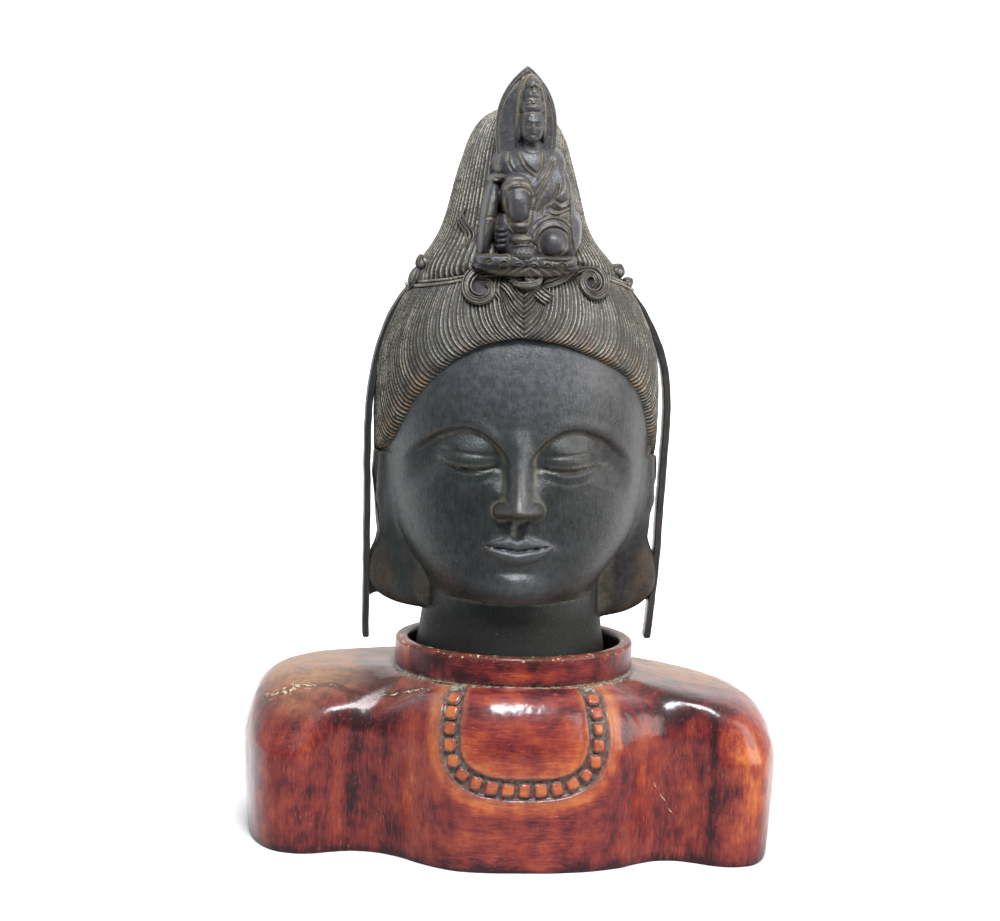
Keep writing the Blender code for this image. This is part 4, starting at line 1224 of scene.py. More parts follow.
# %% [markdown]
# ### Ears
#
# Seen from the front the ears are only a soft outline that flows out of the cheek and flares into long
# lobes, the sign of a Buddha. Seen from the side they are carved: a rolled rim, a hollow for the opening and
# a long slit where a heavy earring once stretched the lobe.

# %% Ear form
EAR_TOP = 212
EAR_ANGLE = 90
EAR_HALF_ANGLE = 13
LOBE_WIDEST = 138
LOBE_REACH = 74.5
LOBE_BOTTOMS = {-1: 122, 1: 118.5}
EAR_REACHES = ((150, 160, 172, 190, 206), (72.5, 69.5, 69.8, 72, 71))
EAR_HALVES = ((118, 128, 140, 160, 176, 196, 212), (0.5, 0.66, 0.66, 0.62, 0.78, 0.98, 0.92))


def lobe_reach(z, bottom):
    """How far the ear stands out sideways: narrow at mid ear, flaring into a rounded lobe."""
    ear = np.interp(z, *EAR_REACHES)
    fall = np.clip((LOBE_WIDEST - z) / (LOBE_WIDEST - bottom), 0, 1)
    lobe = NECK_RADIUS + (LOBE_REACH - NECK_RADIUS) * np.sqrt(1 - fall**2)
    return lobe + (ear - lobe) * smoothstep(LOBE_WIDEST + 2, LOBE_WIDEST + 18, z)


def ear_relief(across, z, bottom):
    """Carving on the ear's outer side. across runs from -1 at its front edge to 1 at its back edge."""
    top_round = np.sqrt(np.clip((EAR_TOP - z) / 12, 0.02, 1))
    rim = np.abs(across + 0.05) / (np.interp(z, *EAR_HALVES) * top_round)
    from_front = smoothstep(-1.3, -0.4, across + 0.012 * (z - 190))
    helix = 2.2 * bell(rim, 0.8, 0.17) * smoothstep(150, 172, z) * from_front
    inner = 1.5 * bell(rim, 0.36, 0.16) * smoothstep(160, 174, z) * smoothstep(209, 203, z)
    hollow = 3 * np.exp(-(((across + 0.18) / 0.24) ** 2) - ((z - 182) / 9.5) ** 2)
    flap = 1.4 * np.exp(-(((across + 0.62) / 0.16) ** 2) - ((z - 179) / 4.5) ** 2)
    slit = 1.9 * np.exp(-(np.abs((across + 0.02) / 0.16) ** 3)) * smoothstep(166, 156, z)
    slit = slit * smoothstep(bottom + 7, bottom + 15, z)
    return helix + inner - hollow + flap - slit


def head_radius(angle, z):
    """Distance of the finished skin from the head's axis at one height."""
    neck = float(np.interp(z, *np.transpose(curve_through(NECK, 6))))
    face = np.zeros_like(angle)
    if z > SKULL[0][0]:
        turned = (angle - HEAD_TURN + pi) % (2 * pi) - pi
        face = section_radius(stations_at(SKULL, z), turned)
        on_face = smoothstep(radians(76), radians(56), np.abs(turned))
        face = face + face_relief(face * np.sin(turned), z) * on_face
    radius = SOFT_JOIN * np.logaddexp(neck / SOFT_JOIN + 0 * angle, face / SOFT_JOIN)
    for hand, bottom in LOBE_BOTTOMS.items():
        if bottom < z < EAR_TOP:
            across = (hand * np.degrees(angle) - EAR_ANGLE) / EAR_HALF_ANGLE
            reach = float(lobe_reach(z, bottom)) * sqrt(min(1, (EAR_TOP - z) / 10))
            edge = np.exp(-np.abs(across) ** 5)
            radius = radius + np.maximum(reach - radius, 0) * edge
            radius = radius + ear_relief(across, z, bottom) * edge * smoothstep(bottom, bottom + 6, z)
    return radius


# %% Skin of face and neck


def column_step(turn):
    """Angle between the columns round the head: closest over the face and ears."""
    turn = np.abs(turn)
    return np.where(turn < 1.22, 0.0112, np.where(turn < 1.95, 0.0135, 0.05))


def row_step(z):
    """Height between the rows: closest from chin to brow."""
    return np.where(z < 116, 1.6, np.where(z < 232, 0.74, 1.2))


def face_grid():
    angle = spaced(-pi, pi, column_step)[:-1]
    heights = spaced(NECK_BOTTOM, HAIRLINE + 6, row_step)
    radius = np.array([head_radius(angle, z) for z in heights])
    return joined(HEAD_X + radius * np.sin(angle), -radius * np.cos(angle), heights[:, None]), radius


def local_hollow(radius, reach):
    """Where a grid's radius lies below the average of its neighbourhood: 1 in a groove, -1 on a ridge."""
    blurred = radius.copy()
    for _ in range(reach):
        blurred = (blurred + np.roll(blurred, 1, axis=1) + np.roll(blurred, -1, axis=1)) / 3
        blurred[1:-1] = (blurred[1:-1] + blurred[:-2] + blurred[2:]) / 3
    return blurred - radius


skin_grid, skin_radius = face_grid()
hammered = 0.1 * rough(skin_grid, 7, 41) + 0.04 * rough(skin_grid, 2, 42)
skin_depth = local_hollow(skin_radius, 5)
face = skin("face_and_neck", skin_grid + outward(skin_grid) * hammered[..., None], close_low=True)
across_face, height = skin_grid[..., 0] - HEAD_X, skin_grid[..., 2]
off_mouth = 1 - bump(across_face, height, 0, MOUTH, 22, 8)
on_lobe = smoothstep(46, 54, np.abs(across_face)) * smoothstep(172, 160, height)
# Painted highlight on the forehead, the nose's ridge, the chin and the mouth.
handled = bump(across_face, height, 0, 248, 50, 24) + 0.9 * bump(across_face, height, 0, 192, 6, 18)
handled += 0.8 * bump(across_face, height, 0, CHIN, 14, 8) + 0.8 * bump(across_face, height, 0, MOUTH, 16, 6)
# Painted shade under the chin and beside the ear lobes.
beside_lobe = smoothstep(58, 66, np.abs(across_face)) * smoothstep(180, 160, height)
place_piece(
    face, *HEAD, face_finish,
    hollow=smoothstep(0.1, 0.7, skin_depth) * off_mouth * (1 - 0.8 * on_lobe),
    ridge=smoothstep(0.12, 0.6, -skin_depth) * off_mouth,
    polish=np.clip(handled, 0, 1) * (skin_grid[..., 1] < 0),
    grime=np.clip(smoothstep(134, 118, height) + 0.7 * beside_lobe, 0, 1),
)

# %% [markdown]
# ## Combed hair
#
# The hair is combed up from the forehead and parted in the middle. Every lock starts on the *root line*,
# which runs down the parting, along the hairline to the ears and on to the nape, leaves it at a slant and
# then turns straight up to the band under the topknot. Because the locks never cross, the mesh can follow
# them: its columns are the locks, six to each, and its rows climb from root to band. That gives sharp, clean
# grooves that a plain grid of the same size could not.

# %% Hair form
HAIR = (
    (146, 2, 46, 44, 44), (156, 2, 55, 52, 51), (166, 2, 64, 60, 60), (185, 2, 71.5, 64, 72),
    (205, 2, 72.5, 66, 77), (230, 2, 73, 67.5, 78), (250, 2, 71.8, 67, 76), (262, 2, 69, 65.5, 73),
    (272, 2, 65, 62, 69), (282, 2, 60, 57.5, 64), (290, 2, 55, 53, 59), (296, 2, 49, 47, 53),
    (302, 2, 42, 40, 45),
)
HAIRLINES = {
    -1: (
        (0, 265.5), (17, 262.5), (32, 254), (47, 238), (56, 226), (64, 213), (73, 205), (88, 201),
        (104, 188), (128, 152), (190, 152),
    ),
    1: (
        (0, 265.5), (20, 262.5), (36, 255.5), (53, 246), (65, 234), (74, 222), (82, 210), (88, 204),
        (104, 188), (128, 152), (190, 152),
    ),
}
BAND_HEIGHTS = (
    (-180, 285), (-120, 286), (-92, 289.5), (-70, 289.5), (-46, 292.5), (-32, 296), (-12, 298), (0, 298),
    (12, 299), (26, 300.5), (50, 297), (68, 292), (90, 288), (120, 286), (180, 285),
)
LOCK_PITCH = 2.35
POINTS_A_LOCK = 6
RIDGE_SHARPNESS = 1.9
LOCK_DEPTH = 0.95
PARTING_TOP = 296
HAIR_ROWS = 58
SCALP_RADIUS = 68


def softened(table, reach):
    """A table of degrees and heights, read at every degree and smoothed."""
    degrees = np.arange(-185, 196)
    heights = np.interp(degrees, *np.transpose(table))
    average = np.ones(2 * reach + 1) / (2 * reach + 1)
    for _ in range(3):
        heights = np.convolve(np.pad(heights, reach, mode="edge"), average, "valid")
    return degrees, heights


band_table = softened(BAND_HEIGHTS, 5)
hairline_tables = {hand: softened(table, 3) for hand, table in HAIRLINES.items()}


def band_height(angle):
    """Height of the band that ends the combed hair, for each angle round the head."""
    return np.interp(np.degrees(angle), *band_table)


def hair_edge(hand, across):
    """Height of one side's hairline, by the angle from the parting."""
    return np.interp(np.degrees(across), *hairline_tables[hand])


def root_line(hand):
    """Where one side's locks start: angle and height, down the parting and along the hairline to the back."""
    turn = np.linspace(0, pi, 900)
    down = np.linspace(PARTING_TOP, hair_edge(hand, 0), 60, endpoint=False)
    return np.concatenate([0 * down, turn]), np.concatenate([down, hair_edge(hand, turn)])


hair_line = curve_through(HAIR, 10)


def hair_surface(angle, z):
    """Radius of the hair's outer surface, for arrays of angle and height of one shape."""
    middle, half, front, back = [np.interp(z, hair_line[:, 0], hair_line[:, k]) for k in range(1, 5)]
    s, c = np.sin(angle), -np.cos(angle)
    depth = np.where(c < 0, front, back)
    # The oval (s r / half)^2 + ((c r - middle) / depth)^2 = 1 is solved for r.
    a = (s / half) ** 2 + (c / depth) ** 2
    b = -2 * c * middle / depth**2
    k = (middle / depth) ** 2 - 1
    return (-b + np.sqrt(b * b - 4 * a * k)) / (2 * a)


# %% Locks


def lock_columns(rng, locks, length, spread):
    """Where the columns of a row of locks start along a length, and how far across its lock each one is."""
    widths = rng.uniform(1 - spread, 1 + spread, locks)
    starts = running(widths) / widths.sum() * length
    share = np.linspace(0, 1, POINTS_A_LOCK, endpoint=False)
    return (starts[:-1, None] + share * np.diff(starts)[:, None]).ravel(), np.tile(share, locks)


def groove_of(phase):
    """1 in the groove between two locks and 0 on a lock's crest."""
    return 1 - np.abs(np.sin(pi * phase)) ** RIDGE_SHARPNESS


def hair_half(hand):
    """One side of the combed hair as a grid of rows and lock-aligned columns, with its groove depth."""
    angle0, z0 = root_line(hand)
    run = running(np.hypot(np.diff(angle0) * SCALP_RADIUS, np.diff(z0)))
    locks = int(round(run[-1] / LOCK_PITCH))
    rng = np.random.default_rng(50 + hand)
    at, phase = lock_columns(rng, locks, run[-1], 0.22)
    at, phase = np.append(at, run[-1]), np.append(phase, 0)
    strength = np.append(np.repeat(rng.uniform(0.75, 1.2, locks), POINTS_A_LOCK), 1)
    root_angle = np.interp(at, run, angle0)
    root_z = np.interp(at, run, z0)
    slant = 12.5 * smoothstep(2.9, 1.3, root_angle) + 4
    rise = np.linspace(0, 1, HAIR_ROWS)[:, None] ** 1.25
    angle = root_angle[None, :] + 0 * rise
    for _ in range(3):
        top = band_height(hand * angle + HEAD_TURN) + 0.5
        z = root_z + rise * np.maximum(top - root_z, 0.05)
        angle = root_angle + slant / SCALP_RADIUS * (1 - np.exp(-(z - root_z) / 10))
    angle = np.minimum(angle, pi)
    actual = hand * angle + HEAD_TURN
    from_root = z - root_z
    lip = np.sqrt(np.clip(1 - (1 - np.clip(from_root / 2.6, 0, 1)) ** 2, 0, 1))
    thick = np.where(root_angle > 0, 4.2, 1.4)
    groove = groove_of(phase)
    fade = np.clip(at / 6, 0.35, 1) * (0.75 + 0.25 * np.exp(-from_root / 25))
    waver = 0.25 * rough(joined(angle * SCALP_RADIUS / 3, z / 9, np.floor(at / LOCK_PITCH)), 1, 60 + hand)
    push = -thick * (1 - lip) - LOCK_DEPTH * groove * strength * fade + waver * (1 - groove)
    radius = hair_surface(actual, z) + push
    grid = joined(HEAD_X + radius * np.sin(actual), -radius * np.cos(actual), z)
    tips = np.exp(-from_root / 4) * (root_angle > 0.15) * (root_angle < 1.4) * np.clip(1 - 2 * groove, 0, 1)
    numbers = {
        "hollow": np.clip(groove**1.6 * 1.1, 0, 1) + 0 * z,
        "ridge": np.clip(1.3 * (1 - groove) ** 6 * (0.35 + 0.75 * (strength - 0.7) / 0.5) + 0 * z, 0, 1),
        "warm": np.clip(1.1 * tips * smoothstep(-0.15, 0.35, rough(grid, 9, 62)), 0, 1),
        # Darker and duller all over, and darker still towards negative x.
        "grime": 0.35 * smoothstep(-10, -62, grid[..., 0]) + 0.5,
    }
    order = slice(None, None, hand)
    return grid[:, order], {name: values[:, order] for name, values in numbers.items()}


(left_hair, left_numbers), (right_hair, right_numbers) = hair_half(-1), hair_half(1)
combed = skin("combed_hair", np.hstack([left_hair, right_hair]), around=False)
hair_numbers = {name: np.hstack([values, right_numbers[name]]) for name, values in left_numbers.items()}
place_piece(combed, *HEAD, hair_finish, **hair_numbers)

# %% [markdown]
# ### Topknot
#
# Above the band the hair is gathered into a tall cone. It spreads out at its foot like a skirt, and its
# locks run almost straight up and close over the top. Here the columns are locks too, all the way round.

# %% Topknot
TOPKNOT = (
    (278, 50, -1), (292, 50, -2), (300, 46, -2.8), (310, 40, -3.3), (321, 36, -3.5), (335, 32.5, -3.5),
    (350, 28.5, -3.5), (361, 24.8, -3.5), (369, 20.3, -3.5), (374, 15, -3.5), (376.8, 9, -3.5),
    (378.2, 4, -3.5), (378.6, 0.4, -3.5),
)
TOPKNOT_DEPTH = 0.96
TOPKNOT_Y = -2
TOPKNOT_LOCKS = 92
TOPKNOT_ROWS = 128


def topknot_grid():
    """The topknot's rows and lock-aligned columns, and how deep in a groove each point lies."""
    rng = np.random.default_rng(17)
    angle, phase = lock_columns(rng, TOPKNOT_LOCKS, 2 * pi, 0.3)
    angle = angle - pi
    strength = np.repeat(rng.uniform(0.7, 1.25, TOPKNOT_LOCKS), POINTS_A_LOCK)
    run = running(np.hypot(np.diff(topknot_line[:, 0]), np.diff(topknot_line[:, 1])))
    band = band_height(angle)
    groove = groove_of(phase)
    s, c = np.sin(angle), np.cos(angle)
    rows = []
    for place in np.linspace(0, run[-1], TOPKNOT_ROWS):
        z_middle, half, lean = [float(np.interp(place, run, column)) for column in topknot_line.T]
        low = np.clip((320 - z_middle) / 40, 0, 1)
        z = z_middle + low * (band - 285) * 0.8
        half = max(half, 0.3)
        across = HEAD_X + hair_surface(angle, band) * s - (HEAD_X + lean + half * s)
        ahead = -hair_surface(angle, band) * c - (TOPKNOT_Y - TOPKNOT_DEPTH * half * c)
        gap = across * s - ahead * c - 1
        skirt = gap * np.exp(-np.maximum(z - band, 0) / np.where(gap > 0, 7, 2.5))
        twisted = angle + 0.05 * sin(place / 30)
        deep = min(1, half / 9)
        wave = 0.25 * rough(joined(np.floor(phase + angle * 12), z / 12, 0), 1, 71)
        radius = half - 0.9 * groove * strength * deep + wave * deep * (1 - groove)
        x = HEAD_X + lean + radius * np.sin(twisted) + skirt * s
        rows.append(joined(x, TOPKNOT_Y - TOPKNOT_DEPTH * radius * np.cos(twisted) - skirt * c, z))
    return np.array(rows), np.tile(groove, (TOPKNOT_ROWS, 1))


topknot_line = curve_through(TOPKNOT, 12)
knot_grid, knot_groove = topknot_grid()
place_piece(
    skin("topknot", knot_grid, close_high=True), *HEAD, hair_finish,
    hollow=np.clip(knot_groove**1.6 * 1.1, 0, 1), grime=0.45,
    # Pale crests are stronger towards negative x: painted light from the upper left.
    ridge=(1 - knot_groove) ** 5 * (1.5 - 0.35 * smoothstep(-20, 20, knot_grid[..., 0])),
)

# %% [markdown]
# ## The crown figure and its halo
#
# In front of the topknot sits a small Guanyin in a loose robe, one knee raised and the other leg folded, on
# a ruffled cushion of cloud, with a pointed leaf-shaped halo behind. It was cast with the head and then
# sharpened with chisels, so it is *relief*: from the front one depth for every point. That is also the best
# way to model it here. Rounded masses are laid down first and blended, then the chisel lines are drawn over
# them as short curves that cut in or stand out.

# %% Masses and chisel lines
RELIEF_X = (-30.5, 25)
RELIEF_Z = (292, 397)
RELIEF_PITCH = 0.4
HALO_X = -4.2
HALO_Y = -34.5
HALO_HALF = 15.2
HALO_WIDEST = 366
HALO_FRONT = 36.3


def mass(x, z, row):
    """Depth of a rounded mass towards the front.

    Its row gives the place (x, depth of its middle, z), the half sizes, the power that makes it square or
    pointed, and how far it leans, in radians.
    """
    place, size, power, lean = row[:3], row[3:6], *(row[6:] + (2, 0)[len(row) - 6:])
    c, s = cos(lean), sin(lean)
    u = ((x - place[0]) * c + (z - place[2]) * s) / size[0]
    v = ((z - place[2]) * c - (x - place[0]) * s) / size[2]
    inside = 1 - np.abs(u) ** power - np.abs(v) ** power
    return place[1] + size[1] * np.where(inside > 0, np.clip(inside, 0, 1) ** (1 / power), 3.5 * inside)


def blended(depths, softness):
    """Soft maximum of several depths, which fills the corner where two masses meet."""
    whole = depths[0]
    for depth in depths[1:]:
        whole = softness * np.logaddexp(whole / softness, depth / softness)
    return whole


def drawn(points, line, width):
    """1 on a curve drawn through the given points, falling off over a half width, with tapered ends."""
    path = curve_through(line, 10)
    distance, index = distance_to(points, path)
    along = index / (len(path) - 1)
    taper = np.clip(np.minimum(along, 1 - along) / 0.12, 0.25, 1)
    return np.exp(-((distance / width) ** 2)) * taper


def arc(x0, z0, wide, tall, first, last, count=9):
    """Points of an oval arc; angles in degrees, anticlockwise from the right."""
    turn = np.radians(np.linspace(first, last, count))
    return joined(x0 + wide * np.cos(turn), z0 + tall * np.sin(turn))


def halo_half(z):
    """Half width of the pointed halo at a height."""
    low = HALO_HALF * (1 - 0.22 * np.clip((HALO_WIDEST - z) / 22, 0, 2) ** 2)
    rise = np.clip((z - HALO_WIDEST) / (HALO_TIP - HALO_WIDEST), 0, 1)
    return np.where(z < HALO_WIDEST, low, HALO_HALF * (1 - rise**2.5) ** 0.92)


print("relief of", round((RELIEF_X[1] - RELIEF_X[0]) / RELIEF_PITCH), "columns")

# %% Rounded masses of the figure
HEAD_MASSES = {
    "hood": (-2, 34, 372, 8.6, 5.2, 23.5, 2.8),
    "face": (-1.9, 41.5, 369.5, 6, 7.2, 9.2, 2.2),
    "cheeks": (-1.9, 43, 366, 5.2, 5.2, 5.6),
    "chin": (-1.9, 45.2, 362.8, 2.6, 3, 2.2),
    "nose ridge": (-1.9, 48.3, 367.4, 0.85, 1.5, 2.7),
    "hair cap": (-1.9, 39, 377.8, 6, 8.4, 4.6, 2.4),
    "drum": (-2, 39, 382.2, 4.4, 7.2, 5.4, 3),
    "crest": (-1.8, 38, 388.6, 3.9, 6.2, 4.6),
    "upper lip": (-1.9, 47.5, 364.9, 1.7, 1, 0.5),
    "lower lip": (-1.9, 47.4, 364, 1.4, 1, 0.5),
    "left lid": (-4.3, 46.4, 369.2, 1.9, 1.3, 0.9),
    "right lid": (0.5, 46.4, 369.2, 1.9, 1.3, 0.9),
    "left ear": (-7.9, 37.5, 366, 1.4, 4, 5.5),
    "right ear": (4.2, 37.5, 366, 1.4, 4, 5.5),
}
ROBE_MASSES = {
    "neck": (-1.5, 39, 357.5, 4.6, 5, 6.5, 2.4),
    "chest": (-2, 39, 346, 14, 10, 13, 2.2),
    "belly": (1, 41, 332, 16.5, 10.5, 18, 2.4),
    "left shoulder": (-13.2, 36.5, 349.5, 6.6, 9, 7.2),
    "right shoulder": (8.6, 37, 348.5, 7, 9.5, 9.5),
    "left wing": (-18.4, 38, 342.9, 4.6, 10, 2.4, 2.2, 0.18),
    "right sleeve": (13.8, 38, 327, 7.2, 12.5, 25, 2.5, 0.16),
    "lap": (2, 43, 316, 21.5, 11, 13.5, 2.8),
}
LEFT_SLEEVE = (-22.3, 37, 322.5, 4.2, 13.5, 21, 2.3, -0.14)
LEG_MASSES = {
    "knee cloth": (-8.9, 45, 334.5, 8.4, 10.5, 11.6, 2.3),
    "knee roll": (-8.9, 48.5, 336.6, 6.9, 9.6, 6.6, 2.6, 0.05),
    "shin": (-8.7, 50.5, 330.4, 5.7, 10, 8.9, 2.6, 0.04),
    "hem cloth": (-7.9, 47, 320.6, 6.4, 9.5, 6, 2.4),
    "ankle": (-7.9, 51, 320.4, 4.7, 7.2, 2, 2.3),
    "foot": (-6.9, 50.5, 313.6, 5.7, 7.5, 3, 2.2),
    "foot low": (-6, 49, 310.6, 6.6, 7.5, 3, 2.2),
    "sole": (-5.5, 49.5, 306.4, 7, 9, 4.6, 2.2),
    "knee ring": (9.1, 48, 312.4, 8.4, 9, 8.2, 2.4),
    "folded knee": (9.1, 51, 312.4, 6.2, 8.6, 6.1, 2.2),
    "seat": (-3.2, 45, 302.9, 25, 12, 3.3, 4),
    "seat foot": (-3, 43, 299.6, 26, 10, 2.6, 3),
}
FINGERS = [(-16.3, 49.5, 318.3 - 2.7 * k, 2.5, 5.6, 1.35, 2.3, 0.12) for k in range(4)]


def hood_and_head(x, z):
    part = {name: mass(x, z, row) for name, row in HEAD_MASSES.items()}
    lips = blended([part["upper lip"], part["lower lip"]], 0.1)
    lids = np.maximum(part["left lid"], part["right lid"])
    side = np.abs(x + 1.9)
    brow = 0.5 * np.exp(-(((z - 371.4 + 0.09 * (side - 2.4) ** 2) / 0.6) ** 2)) * (side < 5)
    head = blended([part["face"], part["cheeks"], part["chin"]], 0.5) + brow
    head = blended([head, part["nose ridge"], lips, lids], 0.18)
    head = blended([head, part["hair cap"]], 0.12)
    behind = [part[name] for name in ("hood", "left ear", "right ear", "drum", "crest")]
    return np.maximum.reduce([head, *behind])


def robe_masses(x, z):
    robe = blended([mass(x, z, row) for row in ROBE_MASSES.values()], 0.7)
    return np.maximum(robe, mass(x, z, LEFT_SLEEVE))


def leg_masses(x, z):
    return np.maximum.reduce([mass(x, z, row) for row in [*LEG_MASSES.values(), *FINGERS]])


# %% Chisel lines of the figure
HOOD_EDGE = (
    (-9.4, 360.5), (-9.6, 372), (-8.3, 384), (-4.2, 393.3), (0.2, 392), (3.6, 384), (5.3, 373),
    (5.6, 361),
)
HOOD_OUTSIDE = (
    (-10.4, 361), (-10.6, 372), (-9.3, 384.5), (-4.6, 394.6), (0.8, 393.4), (4.6, 384.5), (6.3, 373),
    (6.5, 361.5),
)
SHIN_SIDES = (
    (-16, 336), (-14.8, 328), (-13.4, 321.4), (-10.6, 317.4), (-7.4, 316.2), (-4.2, 317.6), (-2.2, 322),
    (-1.2, 334),
)
SHIN_FOLD = ((-14.4, 330), (-13, 323.6), (-10.4, 319.2), (-7.6, 318), (-5, 319), (-3.2, 323), (-2.6, 330))
HEAD_CUTS = (
    ([(-4.5, 367.9), (-5.7, 369), (-4.4, 368.3), (-2.9, 368.9)], 0.35, -0.5),
    ([(2.1, 369), (0.6, 368.3), (-0.9, 368.9)], 0.35, -0.5),
    ([(-3.4, 364.4), (-1.9, 364.3), (-0.4, 364.4)], 0.35, -0.5),
    ([(-7.6, 374.6), (-1.9, 375.6), (3.8, 374.6)], 0.45, -0.9),
    ([(-6.2, 378.6), (-2, 379.4), (2.3, 378.6)], 0.45, -0.9),
    ([(-6, 381.8), (-2, 382.6), (2.2, 381.8)], 0.4, -0.8),
    (HOOD_EDGE, 0.6, 0.9),
    (HOOD_OUTSIDE, 0.45, -0.9),
    ([(-5.6, 359.3), (-1.6, 358.3), (2.8, 359.3)], 0.4, -0.5),
    ([(-5.4, 356.9), (-1.6, 355.8), (2.8, 356.9)], 0.4, -0.5),
)
ROBE_CUTS = (
    ([(-9, 355.5), (-6.3, 349.8), (-3.4, 346.8), (-0.1, 344.3)], 0.45, 0.9),
    ([(-8.2, 355.5), (-5.4, 350.2), (-2.6, 347.4), (0.5, 345)], 0.55, -1.1),
    ([(3.3, 356.6), (3, 350.5), (1.6, 346.8), (-0.3, 343.8)], 0.5, -1.1),
    ([(4.4, 357), (4.2, 350.5), (2.7, 346.2), (0.4, 342.6)], 0.5, 0.8),
    ([(-13.6, 356.4), (-13.3, 350.5), (-11.2, 346.6)], 0.5, -1.2),
    ([(-12.7, 356.6), (-12.3, 350.8), (-10.3, 347.2)], 0.45, 0.7),
    ([(-17.6, 353), (-18.8, 349), (-17, 345.6), (-14, 344.6)], 0.5, -0.9),
    ([(9.1, 353.6), (6, 346), (0.6, 337.2), (-1, 331.8)], 0.55, -1.3),
    ([(10.4, 353.2), (7.4, 346), (2.2, 337.6), (0.2, 331.8)], 0.5, 0.8),
    ([(5.9, 341.2), (3, 335.4), (0.9, 329.6), (0.3, 323)], 0.5, -0.9),
    ([(11.4, 342), (9.2, 335), (4.2, 329.4), (2, 324)], 0.55, -1.2),
    ([(12.4, 342), (10.6, 334.6), (6, 329.4)], 0.5, 0.7),
    ([(13.2, 348.5), (14.6, 341), (12.2, 335.6)], 0.5, -0.7),
    ([(9, 333.4), (12.6, 331.6), (16.6, 333.4)], 0.5, -1),
    ([(9.8, 331.6), (13, 329.6), (17, 331.2)], 0.45, 0.6),
    ([(7, 329.2), (12, 327.6), (17.4, 330)], 0.5, -1),
    ([(5, 326.6), (11, 325.4), (17.6, 327.8)], 0.5, -1.1),
    ([(16.9, 342), (17.7, 330), (18.2, 319), (21, 306.5)], 0.5, 0.8),
    ([(15.8, 341), (16.6, 330), (17.2, 319), (19.8, 306.5)], 0.55, -1.1),
    ([(-21.4, 345.4), (-17.6, 344.2), (-14.2, 343)], 0.45, 0.7),
    ([(-21.2, 343.2), (-17.8, 342.2), (-15, 340.6)], 0.55, -1.4),
    ([(-17.2, 334), (-18.4, 326), (-18.8, 318), (-20.6, 306.8)], 0.6, -1.6),
    ([(-20.6, 336), (-22.4, 327), (-24.6, 313)], 0.8, -0.6),
    ([(-23.6, 323.4), (-21.2, 324), (-19.6, 322.6)], 0.55, -1.1),
)
LEG_CUTS = (
    (arc(-8.9, 336, 7.3, 5.4, 170, 5), 0.5, -1.2),
    (arc(-8.9, 335.2, 8.4, 8.6, 175, 20), 0.5, 0.6),
    (arc(-8.8, 334.6, 5.6, 4.2, 165, 10), 0.45, -1.1),
    (SHIN_SIDES, 0.55, -1.4),
    (SHIN_FOLD, 0.45, -0.9),
    (arc(-7.9, 322.4, 4.4, 1.3, 190, 350), 0.4, -0.9),
    (arc(-6.4, 312.6, 5.8, 2.2, 150, 30), 0.45, -1),
    (arc(-5.8, 308.6, 7, 3.8, 165, 15), 0.45, -1.2),
    (arc(-5.5, 307, 6.6, 3.9, 0, 360, 19), 0.4, 0.6),
    (arc(9.1, 312.4, 7.2, 7.1, 0, 360, 25), 0.5, -1.4),
    (arc(9.1, 312.4, 8.5, 8.4, -20, 215, 19), 0.5, 0.7),
    (arc(9, 313.6, 9.6, 9.8, 10, 175, 15), 0.5, -1.1),
    (arc(9, 314.2, 11.2, 11.2, 20, 160, 13), 0.5, -0.9),
    ([(-27.6, 305.4), (-14, 306.2), (-12.5, 303.6)], 0.55, -0.9),
    ([(3.2, 305), (12, 304.4), (20.6, 305.2)], 0.5, 0.9),
    ([(3, 303.6), (12, 303), (20.6, 303.8)], 0.5, -1),
)
SEAT_CURLS = (
    (-22.5, 302.4, 2.6), (-15.2, 301.2, 2.9), (-7.4, 300.6, 2.6), (-0.2, 300.2, 2.4), (6.6, 300.4, 2.7),
    (13.8, 300.8, 2.8),
)
BOSS_BEADS = ((-3.3, 388.6, 1), (0, 388.6, 1), (-1.7, 386.2, 1.3), (-1.9, 380.6, 0.8))


def knob_texture(x, z):
    """Small raised squiggles on the sole, and the three beads of the crest's boss."""
    squiggle = np.sin(3.1 * x + 1.6 * np.sin(2.3 * z)) * np.sin(2.6 * z + 1.1 * np.sin(2.9 * x))
    on_sole = smoothstep(1, 0.75, ((x + 5.5) / 6.4) ** 2 + ((z - 307) / 3.6) ** 2)
    relief = 0.45 * squiggle * on_sole
    for bead_x, bead_z, size in BOSS_BEADS:
        ball = np.clip(1 - ((x - bead_x) ** 2 + (z - bead_z) ** 2) / size**2, 0, 1)
        relief += 0.8 * np.sqrt(ball)
    return relief


def seat_curls(x, z):
    """Wave-like curls along the cushion, each a spiral groove."""
    relief = np.zeros_like(x)
    for x0, z0, size in SEAT_CURLS:
        away = np.hypot(x - x0, (z - z0) * 1.2)
        turn = np.arctan2(z - z0, x - x0)
        relief += 0.8 * np.cos(2 * pi * away / 1.9 - turn) * smoothstep(size + 0.6, size - 0.6, away)
    return relief


def relief_grid():
    """The figure's points, and how far the chisel cut in (below zero) or left a ridge at each."""
    even = [spaced(low, high, lambda place: RELIEF_PITCH + 0 * place) for low, high in (RELIEF_X, RELIEF_Z)]
    x, z = np.meshgrid(*even)
    points = joined(x.ravel(), z.ravel())
    body = np.maximum(robe_masses(x, z), hood_and_head(x, z))
    legs = leg_masses(x, z)
    depth = np.maximum(body, legs)
    behind_legs = (legs <= body).ravel()
    cut = np.zeros(x.size)
    for cuts, share in ((HEAD_CUTS, 0.8), (ROBE_CUTS, behind_legs), (LEG_CUTS, 1)):
        for line, width, height in cuts:
            cut += height * share * drawn(points, line, width)
    cut = cut.reshape(x.shape) + knob_texture(x, z) + seat_curls(x, z)
    cut += 0.1 * rough(joined(x, z, 0), 1.6, 81)
    return joined(x, -(depth + cut), z), cut


